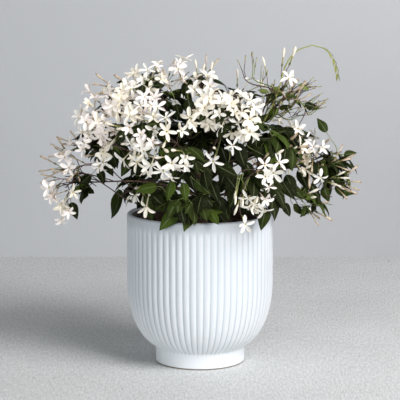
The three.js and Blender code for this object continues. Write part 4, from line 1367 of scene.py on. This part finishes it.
class Plant:
    """Everything that has grown so far, before it is given its shape."""

    def __init__(self, scene):
        self.leaf = scene.jasmine_leaf
        self.blossom = scene.jasmine_blossom
        self.planter = scene.jasmine_planter
        self.pot = scene.jasmine_pot
        self.limbs, self.leaflets, self.flowers, self.buds = [], [], [], []
        self.holds = []  # points along the stems and main twigs, where more can grow

    def misses_pot(self, points):
        """Whether a run of points stays clear of the planter's wall and the soil."""
        radius, height = np.hypot(points[:, 0], points[:, 1]), points[:, 2]
        above = height > self.planter.height + WALL_GAP
        outside = radius > self.planter.radius + WALL_GAP
        inside = (radius < self.pot.rim_radius - RIM_GAP) & (height > self.pot.soil_top + SOIL_GAP)
        crosses = (outside & ~above).any() and (inside & ~above).any()
        return (above | outside | inside).all() and not crosses

    def clears_rim(self, run):
        """Whether a leaf along this run ends above the lip, and well above it close to the wall."""
        beside = np.hypot(*run[-1, :2]) < self.planter.radius + BESIDE_LIP
        lowest = self.planter.height + (LIP_GAP if beside else 0)
        return self.misses_pot(run) and run[-1, 2] > lowest

    def add_limb(self, line, radii, kind):
        self.limbs.append(Limb(np.asarray(line), radii, kind))

    def add_hold(self, line, radii):
        """A dark limb that more can grow from."""
        self.add_limb(line, radii, DARK_STEM)
        self.holds.append(line)

    def reach_out(self, foot, aim, radii, kind):
        """Grows a fine twig from the nearest hold to foot, where it points along aim."""
        behind = foot - aim * RUN_UP
        points = np.concatenate([line[1:] for line in self.holds])
        tangents = np.concatenate([unit(np.diff(line, axis=0)) for line in self.holds])
        nearest = np.argmin(norm(points - behind, axis=1))
        start, tangent = points[nearest], tangents[nearest]
        span = norm(foot - start)
        controls = [start, start + tangent * span * 0.35, foot - aim * span * 0.45, foot]
        line = bezier(controls, steps(10))
        self.add_limb(line, radii, kind)
        return line

    def add_leaf(self, random, foot, way, face, length, pairs, kind):
        """A leaf: its stalk, pairs of side leaflets and a larger leaflet at the tip, all drooping.
        Returns whether there was room for it."""
        leaf = self.leaf
        stalk = leaf.stalk * length / leaf.length * (0.55 + 0.25 * pairs)
        bend, end = foot + way * stalk * 0.6, foot + way * stalk - UP * stalk * 0.15
        line = bezier([foot, bend, end], steps(6))
        heading = unit(line[-1] - line[-2])
        droop = -UP * (0.15 + 0.4 * random())
        tip_way = unit(heading + droop + jitter(random, 0.12))
        run = straight(line[-1], tip_way * length, 8)
        if not self.clears_rim(run):
            return False
        self.add_limb(line, LEAF_STALK, GREEN_STEM)
        self.leaflets.append(Growth(line[-1], tip_way, face, length, kind))
        side = unit(np.cross(way, face))
        for pair in range(pairs):
            start = on_curve([line[0], line[3], line[-1]], 0.9 - 0.38 * pair)
            for hand in (-1, 1):
                along = unit(heading * 0.55 + side * hand * 0.8 + droop * 0.5
                             + jitter(random, 0.15))
                size = length * leaf.side_share * (0.85 + 0.3 * random()) * (1 - 0.15 * pair)
                tilt = unit(face + jitter(random, 0.2))
                if self.clears_rim(straight(start, along * size, 5)):
                    self.leaflets.append(Growth(start, along, tilt, size, kind))
        return True

    def has_room(self, face):
        """Whether a flower whose face is here keeps its distance from all others."""
        tube_length, spacing = self.blossom.tube, self.blossom.spacing
        return all(norm(flower.foot + flower.along * tube_length - face) > spacing
                   for flower in self.flowers)


def droop_of(point):
    """How far flowers hang, from 0 high in the crown to 1 just over the lip."""
    return smooth((HANG_START - point[2]) / HANG_RANGE)


def leaf_kind(random, mass):
    """The kind of a leaf of that mass: young, or fresh with the paler colour of painted light where
    it is in good light, and otherwise dark with painted shade.
    """
    draw = random()
    if draw < mass.fresh:
        return YOUNG if mass.leaf_size < 0.7 and draw < mass.fresh / 2 else LIT_LEAF
    # Leaves out of good light get painted shade: the darkest copy at the heart and low in front,
    # else the deep one, or plain green
    shade_kind = DARKEST_SHADED_LEAF if mass.name in DARKEST_SHADE_MASSES else SHADED_LEAF
    return shade_kind if random() < 0.8 - mass.fresh else GREEN


def grow_stems(plant, number, bough):
    """A mass's stem, which carries on from its bough, and its main twigs. Returns the turn by which
    the twigs are spread, and the direction and control points of each."""
    mass = MASSES[number]
    random = seeded(number + STEM_SEED)
    turn = random() * TAU
    along = unit(bough[3] - bough[2])
    root = bough[3] + along * CLEARANCE
    end = mass.at + mass.out * mass.reach * STEM_PAST
    stem = [root, root + along * norm(end - root) / 2, end]
    plant.add_hold(bezier(stem, steps(12)), STEM)
    mains = []
    for k in range(mass.twigs):
        way = spread_direction(k, mass.twigs, turn, mass.out)
        edge = way * mass.reach
        tip = mass.at + edge * max(LEAST_MAIN, 1 - plant.blossom.tube / norm(edge))
        place = FIRST_TWIG + (LAST_TWIG - FIRST_TWIG) * (k + 0.5) / mass.twigs
        base = on_curve(stem, place)
        length = norm(tip - base)
        controls = [base, mixed(base, tip, 0.5) + UP * length * 0.1, tip]
        is_clear = plant.misses_pot(bezier(controls, steps(9)))
        if length > SHORTEST_TWIG and is_clear and is_own(number, tip, TRESPASS):
            mains.append((way, controls))
            plant.add_hold(bezier(controls, steps(12)), MAIN_TWIG)
    return turn, mains


def grow_fill(plant, number, turn, mains):
    """The finer twigs of a mass, with its leaves, flowers and buds."""
    mass = MASSES[number]
    random = seeded(number + FILL_SEED)
    blossom, leaf = plant.blossom, plant.leaf
    is_young = mass.buds > 1
    finer = FINER * (FINER_YOUNG if is_young else 1)
    total = round(mass.twigs * finer)
    flower_rate = mass.flowers * blossom.per_solid / finer
    bud_rate = mass.buds * blossom.buds_per_solid / finer + flower_rate * blossom.buds_per_flower
    leaf_rate = mass.leaf_pairs * leaf.per_solid / finer
    is_leafy = mass.flowers + mass.buds < 0.5
    for q in range(total if mains else 0):
        way = spread_direction(q, total, turn + 1, mass.out)
        edge = way * mass.reach
        flowers, buds = share_of(flower_rate, q), share_of(bud_rate, q)
        carried = (blossom.tube + blossom.stalk) if flowers or buds else blossom.tube * 0.7
        depth = 1 - 0.4 * random() ** 2
        tip = mass.at + edge * max(LEAST_FINE, depth - carried / norm(edge))
        parent = max(mains, key=lambda main: main[0] @ way)[1]
        place = 0.3 + 0.6 * random()
        base = on_curve(parent, place)
        heading = unit(on_curve(parent, place + 0.05) - base)
        length = norm(tip - base)
        bend = base + heading * length * 0.4 + UP * length * 0.08
        line = bezier([base, bend, tip], steps(8))
        if length < SHORTEST_TWIG or not plant.misses_pot(line):
            continue
        if (norm(PLACED - tip, axis=1) < CLAIM).any():
            flowers = buds = 0
        bud_kind = RED if is_young else TAN if random() < mass.blush else PALE
        stem_kind = DARK_STEM if random() < (0.25 if is_young else 0.7) else GREEN_STEM
        plant.add_limb(line, YOUNG_TWIG if is_young else FINE_TWIG, stem_kind)
        grow_spray(plant, random, mass, line, way, flowers, buds, bud_kind)
        for j in range(share_of(leaf_rate, q)):
            place = (0.9 if is_leafy else 0.55) - 0.35 * j - 0.1 * random()
            foot = on_curve([line[0], line[4], line[-1]], place)
            grow_leaf_pair(plant, random, mass, foot, unit(line[-1] - line[0]))


def grow_leaf_pair(plant, random, mass, foot, direction):
    """Two leaves that face each other across a twig."""
    side = unit(np.cross(direction, UP) + jitter(random, 0.2))
    for hand in (-1, 1):
        length = plant.leaf.length * mass.leaf_size * (0.75 + 0.4 * random())
        kind = leaf_kind(random, mass)
        for attempt in range(LEAF_TRIES):
            way = unit(direction * 0.6 + side * hand * 0.85 + mass.out * 0.3
                       + jitter(random, 0.3 + 0.2 * attempt))
            face = unit(UP + 0.8 * mass.out + jitter(random, 0.4))
            pairs = min(2, int(random() * 2.4))
            shorter = length * (1 - 0.12 * attempt)
            if plant.add_leaf(random, foot, way, face, shorter, pairs, kind):
                break


def grow_spray(plant, random, mass, line, way, flowers, buds, bud_kind):
    """Flowers and buds on stalks in pairs, down from the end of a fine twig. Low down they hang."""
    blossom = plant.blossom
    hang = -UP * droop_of(line[-1])
    run = norm(line[-1] - line[0])
    helper = unit(np.cross(way, [0.3, 0.2, 1]))
    across = np.cross(way, helper)
    is_young = bud_kind == RED
    for j in range(flowers + buds):
        is_bud = j >= flowers
        level = (j + 1) // 2
        place = max(0.2, 1 - level * PAIR_GAP / run)
        foot = on_curve([line[0], line[len(line) // 2], line[-1]], place)
        is_long = is_bud and (bud_kind != PALE or way[2] < -0.8)
        stalk = blossom.stalk * (0.7 + 0.7 * random()) * (2 if is_long else 1)
        for attempt in range(BLOOM_TRIES):
            spread = (0.3 + 0.12 * level) if is_young else (0.42 + 0.17 * level)
            tilt = (0.1 if j == 0 else spread) + 0.1 * attempt * random()
            bearing = j * math.pi + level * math.pi / 2 + (random() - 0.5) * (1 + attempt)
            lean = helper * math.cos(bearing) + across * math.sin(bearing)
            aim = unit(way * math.cos(tilt) + lean * math.sin(tilt)
                       + 0.5 * hang * (0.5 + random()) + jitter(random, 0.16))
            start = foot + unit(way + aim) * stalk
            reach = blossom.tube + (0 if is_bud else blossom.petal * 0.6)
            if not plant.misses_pot(straight(start, aim * reach, 6)):
                continue
            if is_bud or plant.has_room(start + aim * blossom.tube):
                break
        else:
            continue
        flushed = random() < (0.5 if is_young else mass.blush)
        stalk_kind = GREEN_STEM if not flushed else DARK_STEM if is_young else RED_STEM
        stalk_line = [foot, foot + way * stalk * 0.55, start]
        plant.add_limb(stalk_line, YOUNG_STALK if is_young else FLOWER_STALK, stalk_kind)
        face = jitter(random, 1) + 0.1 * UP
        if is_bud:
            size = 0.4 + 0.2 * random() if is_young else 0.78 + 0.32 * random()
            plant.buds.append(Growth(start, aim, face, size, bud_kind))
        else:
            kind = BLUSH if random() < mass.blush else WHITE if random() < 0.5 else CREAM
            plant.flowers.append(Growth(start, aim, face, 0.75 + 0.3 * random(), kind))


def grow_placed(plant):
    """The sprays and leaflets with a place of their own."""
    random = seeded(PLACED_SEED)
    by_name = {mass.name: mass for mass in MASSES}
    for points in BARE_STEMS:
        plant.add_hold(through(np.array(points) * MM), PLACED_STEM)
    for name, rows in SPRAYS:
        for foot, aim, flowers, buds, bud_kind in rows:
            aim = unit(np.array(aim))
            is_young = bud_kind == RED
            stem_kind = GREEN_STEM if is_young and random() < 0.6 else DARK_STEM
            radii = PLACED_STEM if is_young else PLACED_TWIG
            line = plant.reach_out(np.array(foot) * MM, aim, radii, stem_kind)
            grow_spray(plant, random, by_name[name], line, aim, flowers, buds, bud_kind)
    for foot, aim, length, kind, *facing in LEAVES:
        aim = unit(np.array(aim))
        line = plant.reach_out(np.array(foot) * MM, aim, LEAF_TWIG, GREEN_STEM)
        toward, sway = (facing[0], 0.1) if facing else ([0, -1, 0.5], 0.4)
        face = unit(np.array(toward) + jitter(random, sway))
        plant.leaflets.append(Growth(line[-1], aim, face, length * MM, kind))


@cache
def grown_plant(scene):
    """The whole plant, grown once for all the operators that shape it."""
    plant = Plant(scene)
    curves = bough_curves()
    stems = [grow_stems(plant, number, curves[mass.name]) for number, mass in enumerate(MASSES)]
    grow_placed(plant)
    for number, (turn, mains) in enumerate(stems):
        grow_fill(plant, number, turn, mains)
    return plant


# Wood

TRUNK_SIDES, BOUGH_SIDES, TWIG_SIDES, SHOOT_SIDES = 28, 10, 5, 8
JOINT_SWELL, JOINT_SHARPNESS = 0.3, 9


class JASMINE_OT_bark(bpy.types.Operator):
    """Model the trunk and its boughs with the relief of their bark"""

    bl_idname = "jasmine.bark"
    bl_label = "Trunk and boughs"

    def execute(self, context):
        wood = context.scene.jasmine_wood
        limbs = Cuttings()
        heights = steps(48)
        foot = np.array([0, 0, trunk_low[2]])
        line = mixed(foot, TRUNK_HEAD, heights[:, None])
        flare = np.clip(1 - heights * wood.trunk_height / wood.flare_height, 0, 1) ** 2
        radii = mixed(wood.neck_radius, wood.head_radius, heights)
        radii += (wood.flare_radius - wood.neck_radius) * flare
        limbs.add(*self.barked(line, radii, TRUNK_SIDES, wood.relief))
        for controls in bough_curves().values():
            span = norm(controls[3] - controls[0])
            places = steps(40)
            from_joint = (places * span / wood.node_gap + 0.5) % 1 - 0.5
            swelling = 1 + JOINT_SWELL * np.exp(-(from_joint * JOINT_SHARPNESS) ** 2)
            radii = mixed(wood.bough_foot, wood.bough_tip, places) * swelling
            radii[-1] = wood.bough_tip * 0.2
            line = bezier(controls, places)
            limbs.add(*self.barked(line, radii, BOUGH_SIDES, wood.relief * 0.7))
        limbs.build("bark", [bark_finish(wood)], "bark", ["trunk", *BOUGH_NODES])
        return {"FINISHED"}

    def barked(self, line, radii, sides, relief):
        """A tube whose radius follows long ridges and cracks."""
        points, faces = tube(line, radii, sides)
        ridges = rough(points * [1, 1, 0.3], 420, 1)
        centres = np.repeat(line, sides, axis=0)
        return centres + (points - centres) * (1 + relief * ridges)[:, None], faces


class JASMINE_OT_twigs(bpy.types.Operator):
    """Shape the stems and twigs inside the foliage"""

    bl_idname = "jasmine.twigs"
    bl_label = "Twigs"

    def execute(self, context):
        wood = context.scene.jasmine_wood
        twigs = Cuttings()
        for limb in grown_plant(context.scene).limbs:
            radii = np.linspace(*limb.radii, len(limb.line))
            twigs.add(*tube(limb.line, radii, TWIG_SIDES), limb.kind)
        finishes = [stem_finish("dark_stem", wood.stem), stem_finish("green_stem", wood.green_stem),
                    stem_finish("red_stem", wood.red_stem)]
        twigs.build("twigs", finishes, "bark", FOLIAGE_NODES)
        return {"FINISHED"}


# Leaves

LEAFLET_SHAPES = 9
LEAST_CURL, MOST_CURL = (0.1, 0.35, -0.25), (0.55, 1.0, 0.25)  # of fold, droop and wave

# The roughness of each kind of leaf, in the order of the kinds
LEAF_ROUGHNESS = {"deep": 0.4, "green": 0.4, "fresh": 0.44, "young": 0.48, "old": 0.4}
# The deep and old leaves carry painted shade, the fresh ones painted light


def planted_all(points, growths):
    """Copies of one shape, for each of some leaflets, flowers or buds."""
    foot, along, face, size, _ = (np.array(values) for values in zip(*growths))
    return planted(points, foot, along, face, size)


def leaflet_shape(leaf, fold, droop, wave):
    """A leaflet of unit length along +X, folded up from its midrib, bent down and wavy."""
    along = np.array([0, 0.05, 0.14, 0.27, 0.42, 0.58, 0.74, 0.88, 1])
    across = np.array([1, 0.55, 0.06, -0.06, -0.55, -1])
    outline = along**0.6 * (1 - along) ** 1.15
    half = np.maximum(outline / outline.max() * leaf.width / leaf.length / 2, 0.012)
    half[-1] = 0.002
    y = half[:, None] * across
    z = fold * np.abs(y) - 0.6 * y**2 / half.max()
    z += wave * half[:, None] * across**2 * np.sin(TAU * along * 1.6)[:, None] * np.sign(across)
    turn = droop * along[:, None]
    x = np.sin(turn) / droop + z * np.sin(turn)
    height = (np.cos(turn) - 1) / droop + z * np.cos(turn)
    points = np.stack([x + 0 * y, y, height], axis=-1).reshape(-1, 3)
    faces = grid_faces(len(along), len(across), closed=False)
    is_rib = np.arange(len(faces)) % (len(across) - 1) == 2
    return points, faces, is_rib


class JASMINE_OT_leaves(bpy.types.Operator):
    """Shape the leaves, each of one large leaflet and pairs of smaller ones"""

    bl_idname = "jasmine.leaves"
    bl_label = "Leaves"

    def execute(self, context):
        leaf = context.scene.jasmine_leaf
        random = np.random.default_rng(LEAF_SEED)
        curls = random.uniform(LEAST_CURL, MOST_CURL, (LEAFLET_SHAPES, 3))
        shapes = [leaflet_shape(leaf, *curl) for curl in curls]
        leaflets = grown_plant(context.scene).leaflets
        chosen = random.integers(len(shapes), size=len(leaflets))
        blades = Cuttings()
        for number, (points, faces, is_rib) in enumerate(shapes):
            some = [leaflet for leaflet, shape in zip(leaflets, chosen) if shape == number]
            kinds = np.array([one.kind for one in some])
            blades.add_copies(planted_all(points, some), faces, kinds[:, None] * 2 + is_rib)
        finishes = []
        for name, roughness in LEAF_ROUGHNESS.items():
            tint = getattr(leaf, name)
            finishes.append(leaf_finish(f"{name}_leaf", tint, roughness))
            finishes.append(stem_finish(f"{name}_midrib", blended(tint, LEAF_RIB, 0.2), 0.5))
        blades.build("leaves", finishes, "leaf", FOLIAGE_NODES)
        return {"FINISHED"}


# Flowers and buds

CALYX, TUBE, HEAD, TIP = range(4)  # the parts of a flower or bud
PETALS = 5
FLOWER_SHAPES, BUD_SHAPES = 12, 6  # of each kind
FLOWER_BEND, BUD_BEND = 6, 5  # at most, in metres sideways at a metre's length
FULLNESS = (1.15, 1.0, 0.85)  # of a pale, a tan and a red bud


def turned_along(rows, sides, teeth=0.0):
    """A profile of (place, radius) rows turned about +X. teeth draws out every other end point."""
    rows = np.asarray(rows)
    turn = TAU * np.arange(sides) / sides
    x = rows[:, :1] + np.zeros(sides)
    x[-1] += teeth * (np.arange(sides) % 2)
    points = np.stack([x, rows[:, 1:] * np.cos(turn), rows[:, 1:] * np.sin(turn)], axis=-1)
    return points.reshape(-1, 3), grid_faces(len(rows), sides)


def calyx():
    """The small toothed cup at the foot of a flower or bud."""
    cup = [(0, 0.3 * MM), (0.8 * MM, 0.85 * MM), (1.8 * MM, 0.95 * MM), (2.6 * MM, 0.9 * MM)]
    return turned_along(cup, 10, 1.4 * MM) + (CALYX,)


def petal(blossom, bearing, long, wide, spread, reflex, cup, twist):
    """One petal, from the tube's mouth out. spread is its angle to the tube, and reflex how far its
    tip rolls back."""
    along = np.array([0, 0.12, 0.3, 0.48, 0.66, 0.82, 0.93, 1])
    across = np.array([1, 0.5, 0, -0.5, -1])
    outline = along**0.75 * (1 - along) ** 0.58
    half = outline / outline.max() * blossom.petal_width * wide / 2
    half = np.maximum(half, 0.7 * MM * (1 - along) ** 0.5)
    half[-1] = 0.08 * MM
    angles = spread * smooth(0.25 + along / 0.35) + reflex * along**2
    lengths = np.diff(along, prepend=0) * blossom.petal * long
    x = blossom.tube + np.cumsum(np.cos(angles) * lengths)
    reach = blossom.throat + np.cumsum(np.sin(angles) * lengths)
    lift = cup * half[:, None] * across**2
    side = half[:, None] * across
    x = x[:, None] + lift * np.sin(angles)[:, None] + twist * side
    reach = reach[:, None] - lift * np.cos(angles)[:, None]
    y = reach * math.cos(bearing) - side * math.sin(bearing)
    z = reach * math.sin(bearing) + side * math.cos(bearing)
    points = np.stack([x, y, z], axis=-1).reshape(-1, 3)
    return points, grid_faces(len(along), len(across), closed=False), HEAD


def flower_shape(blossom, random):
    """A slim tube with its calyx, opening into a star of five petals about +X."""
    end, mouth = blossom.tube, blossom.throat
    slim = [(2 * MM, 0.5 * MM), (end * 0.35, 0.55 * MM), (end * 0.7, 0.65 * MM),
            (end * 0.92, mouth * 0.8), (end, mouth)]
    funnel = [(end + 0.1 * MM, mouth * 1.02), (end - 1.5 * MM, mouth * 0.45),
              (end - 2 * MM, 0.05 * MM)]
    parts = [calyx(), turned_along(slim, 8) + (TUBE,), turned_along(funnel, 8) + (TIP,)]
    long, wide, spread, reflex = random.uniform([0.85, 0.58, 0.6, -0.3], [1.08, 0.95, 1.75, 1.2])
    for k in range(PETALS):
        bearing = TAU * k / PETALS + random.normal(0, 0.1)
        parts.append(petal(blossom, bearing,
                           long=long * random.uniform(0.9, 1.08),
                           wide=wide * random.uniform(0.85, 1.1),
                           spread=spread + random.normal(0, 0.2),
                           reflex=reflex + random.normal(0, 0.35),
                           cup=random.uniform(0.1, 0.9),
                           twist=random.uniform(-0.3, 0.5)))
    points, faces, paint = joined(parts)
    points[:, 2] += random.uniform(-FLOWER_BEND, FLOWER_BEND) * points[:, 0] ** 2
    return points, faces, paint


def bud_shape(blossom, random, fullness):
    """A closed bud along +X: its calyx, a slim tube and a head that narrows to a point."""
    size, full = blossom.bud, blossom.bud_radius * fullness * random.uniform(0.85, 1.1)
    slim = [(0.08, 0.4), (0.3, 0.44), (0.5, 0.55)]
    head = [(0.5, 0.55), (0.62, 0.78), (0.72, 0.97), (0.8, 1.0), (0.88, 0.85)]
    point = [(0.88, 0.85), (0.95, 0.5), (1.0, 0.06)]
    parts = [calyx()]
    for rows, kind in ((slim, TUBE), (head, HEAD), (point, TIP)):
        scaled = [(place * size, radius * full) for place, radius in rows]
        parts.append(turned_along(scaled, 7) + (kind,))
    points, faces, paint = joined(parts)
    points[:, 2] += random.uniform(-BUD_BEND, BUD_BEND) * points[:, 0] ** 2
    return points, faces, paint


def deal_blooms(blooms, shapes, table, random):
    """Makes each bloom one of its kind's shapes. table has the finishes of each kind's parts."""
    cuttings = Cuttings()
    for kind, variants in enumerate(shapes):
        alike = [bloom for bloom in blooms if bloom.kind == kind]
        chosen = random.integers(len(variants), size=len(alike))
        for number, (points, faces, paint) in enumerate(variants):
            some = [bloom for bloom, variant in zip(alike, chosen) if variant == number]
            if some:
                finishes = np.broadcast_to(table[kind][paint], (len(some), len(faces)))
                cuttings.add_copies(planted_all(points, some), faces, finishes)
    return cuttings


class JASMINE_OT_blossom(bpy.types.Operator):
    """Shape the open flowers"""

    bl_idname = "jasmine.blossom"
    bl_label = "Blossom"

    def execute(self, context):
        blossom = context.scene.jasmine_blossom
        random = np.random.default_rng(FLOWER_SEED)
        shapes = [[flower_shape(blossom, random) for _ in range(FLOWER_SHAPES)]
                  for _ in (WHITE, CREAM, BLUSH)]
        finishes = [
            stem_finish("calyx", blossom.calyx),
            petal_finish("pale_tube", blended(blossom.cream, blossom.green_tube, 0.45), 0.9),
            petal_finish("flushed_tube", blended(blossom.cream, blossom.tan, 0.6)),
            petal_finish("white_petal", blossom.white),
            petal_finish("cream_petal", blossom.cream),
            petal_finish("blush_petal", blossom.blush),
            petal_finish("throat", blossom.throat_tint, 0.8),
        ]
        table = np.array([[0, 1, 3, 6], [0, 1, 4, 6], [0, 2, 5, 6]])
        flowers = deal_blooms(grown_plant(context.scene).flowers, shapes, table, random)
        flowers.build("blossom", finishes, "blossom", FOLIAGE_NODES)
        return {"FINISHED"}


class JASMINE_OT_buds(bpy.types.Operator):
    """Shape the closed buds"""

    bl_idname = "jasmine.buds"
    bl_label = "Buds"

    def execute(self, context):
        blossom = context.scene.jasmine_blossom
        random = np.random.default_rng(BUD_SEED)
        shapes = [[bud_shape(blossom, random, fullness) for _ in range(BUD_SHAPES)]
                  for fullness in FULLNESS]
        finishes = [
            stem_finish("bud_calyx", blossom.calyx),
            petal_finish("cream_bud", blossom.cream, 0.9),
            petal_finish("tan_bud", blended(blossom.tan, blossom.cream, 0.4), 0.86),
            petal_finish("tan_tube", blossom.tan, 0.8),
            petal_finish("red_bud", blossom.red, 0.75),
            petal_finish("green_bud", blossom.green_tube, 0.85),
        ]
        table = np.array([[0, 5, 1, 1], [0, 3, 2, 3], [0, 4, 5, 4]])
        buds = deal_blooms(grown_plant(context.scene).buds, shapes, table, random)
        buds.build("buds", finishes, "bud", FOLIAGE_NODES)
        return {"FINISHED"}


# The arching shoot

# The points that the shoot passes, in millimetres
SHOOT_RISE = [(30, -12, 212), (62, -14, 246), (79, -8, 280), (86, -3, 304), (97, 0, 319),
              (113, 0, 325.5)]
SHOOT_FALL = [(127, -1, 321), (134, -2, 312), (138, -3, 301), (139.5, -4, 291)]


class JASMINE_OT_shoot(bpy.types.Operator):
    """Shape the long green shoot that arches over at the top right"""

    bl_idname = "jasmine.shoot"
    bl_label = "Arching shoot"

    def execute(self, context):
        shoot = context.scene.jasmine_shoot
        wood = context.scene.jasmine_wood
        foot = mixed(TRUNK_FOOT, TRUNK_HEAD, 0.8)
        rise = through([foot, *(np.array(SHOOT_RISE) * MM)])
        fall = through([rise[-1], *(np.array(SHOOT_FALL) * MM)])
        stem = Cuttings()
        stem.add(*tube(rise, np.linspace(shoot.foot, shoot.top, len(rise)), SHOOT_SIDES))
        stem.add(*tube(fall, np.linspace(shoot.top, shoot.tip, len(fall)), SHOOT_SIDES))
        finish = shoot_finish(shoot, wood)
        leaf = leaf_finish("shoot_leaf", blended(shoot.green, wood.red_stem, 0.15), 0.45)
        points, faces, _ = leaflet_shape(context.scene.jasmine_leaf, 0.7, 0.5, 0)
        run = np.append(0, np.cumsum(norm(np.diff(fall, axis=0), axis=1)))
        for place in np.arange(shoot.leaf, run[-1], shoot.leaf_gap):
            step = np.searchsorted(run, place)
            along = unit(fall[step] - fall[step - 1])
            for hand in (-1, 1):
                way = unit(along + hand * np.array([0.35, 0.3, 0]))
                leaf_points = planted_once(points * [1, 0.4, 1], fall[step], way, UP, shoot.leaf)
                stem.add(leaf_points, faces, 1)
        stem.build("arching_shoot", [finish, leaf], "young_shoot", ["shoot_rise", "shoot_fall"])
        return {"FINISHED"}


# The stage

LIT_POINT = Vector((0, 0, 0.2))
LIGHT_DISTANCE = 2  # metres, like the next two
HALF_FLOOR, WALL_TOP = 4, 3

# Each light's width in metres, and its tint
LIGHTS = {
    "key": (1.3, (1, 0.985, 0.985)),
    "fill": (1, (0.94, 0.985, 1)),
    "low": (0.5, (1, 0.99, 0.98)),
    "back": (0.7, (1, 1, 1)),
}


def pane(name, corners, material):
    mesh = bpy.data.meshes.new(name)
    mesh.from_pydata(corners, [], [(0, 1, 2, 3)])
    mesh.materials.append(material)
    made = put(name, mesh)
    made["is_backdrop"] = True


def soft_light(name, stage, width, tint):
    """A round light that stands off from the plant at its own bearing and rise."""
    light = bpy.data.lights.new(name, "AREA")
    light.shape = "DISK"
    light.energy = getattr(stage, name)
    light.size = width
    light.color = tint
    bearing = getattr(stage, name + "_bearing")
    rise = getattr(stage, name + "_rise")
    level = math.cos(rise)
    toward = Vector((level * math.sin(bearing), -level * math.cos(bearing), math.sin(rise)))
    made = put(name, light)
    made.location = LIT_POINT + toward * LIGHT_DISTANCE
    made.rotation_euler = toward.to_track_quat("Z", "Y").to_euler()


class JASMINE_OT_stage(bpy.types.Operator):
    """Set up the camera, the pale floor and wall, and soft studio light"""

    bl_idname = "jasmine.stage"
    bl_label = "Stage"

    def execute(self, context):
        stage = context.scene.jasmine_stage
        lens = bpy.data.cameras.new("camera")
        lens.sensor_width = SENSOR_WIDTH
        lens.lens = stage.lens
        camera = put("camera", lens)
        camera.location = (0, -stage.camera_distance, stage.camera_height)
        camera.rotation_euler = (math.pi / 2 - stage.camera_dip, 0, 0)
        context.scene.camera = camera

        half, back, top = HALF_FLOOR, stage.wall_distance, WALL_TOP
        floor = concrete_finish("pale_floor", stage.floor, contrast=0.13, pits=0.75, stretch=4)
        wall = concrete_finish("pale_wall", stage.wall, contrast=0.015, pits=0, one_sided=True)
        left, right = (-half, back, 0), (half, back, 0)
        pane("floor", [(-half, -half, 0), (half, -half, 0), right, left], floor)
        pane("wall", [left, right, (half, back, top), (-half, back, top)], wall)
        for name, (width, tint) in LIGHTS.items():
            soft_light(name, stage, width, tint)
        world = bpy.data.worlds.new("sky")
        world.use_nodes = True
        sky = world.node_tree.nodes["Background"]
        sky.inputs["Color"].default_value = (*SKYLIGHT, 1)
        sky.inputs["Strength"].default_value = stage.sky
        context.scene.world = world
        context.scene.view_settings.view_transform = "Standard"
        return {"FINISHED"}


# The add-on

OPERATORS = [
    JASMINE_OT_stage,
    JASMINE_OT_planter,
    JASMINE_OT_nursery_pot,
    JASMINE_OT_soil,
    JASMINE_OT_bark,
    JASMINE_OT_twigs,
    JASMINE_OT_leaves,
    JASMINE_OT_blossom,
    JASMINE_OT_buds,
    JASMINE_OT_shoot,
]


class JASMINE_PT_panel(bpy.types.Panel):
    bl_idname = "JASMINE_PT_panel"
    bl_label = "Potted Jasmine"
    bl_space_type = "VIEW_3D"
    bl_region_type = "UI"
    bl_category = "Jasmine"

    def draw(self, context):
        for operator in OPERATORS:
            self.layout.operator(operator.bl_idname)
        for name, group in SETTINGS.items():
            box = self.layout.box()
            settings = getattr(context.scene, name)
            for setting in group.__annotations__:
                box.prop(settings, setting)


def register():
    for name, group in SETTINGS.items():
        bpy.utils.register_class(group)
        setattr(bpy.types.Scene, name, PointerProperty(type=group))
    for kind in [*OPERATORS, JASMINE_PT_panel]:
        bpy.utils.register_class(kind)


def unregister():
    for kind in [JASMINE_PT_panel, *reversed(OPERATORS)]:
        bpy.utils.unregister_class(kind)
    for name, group in SETTINGS.items():
        delattr(bpy.types.Scene, name)
        bpy.utils.unregister_class(group)


def corners(box):
    return [list(corner) for corner in box]


def main():
    register()
    for operator in OPERATORS:
        getattr(bpy.ops.jasmine, operator.bl_idname.split(".")[1])()
    {"cad": corners(CAD_BOX), "visual": corners(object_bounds())}


if __name__ == "__main__":
    main()
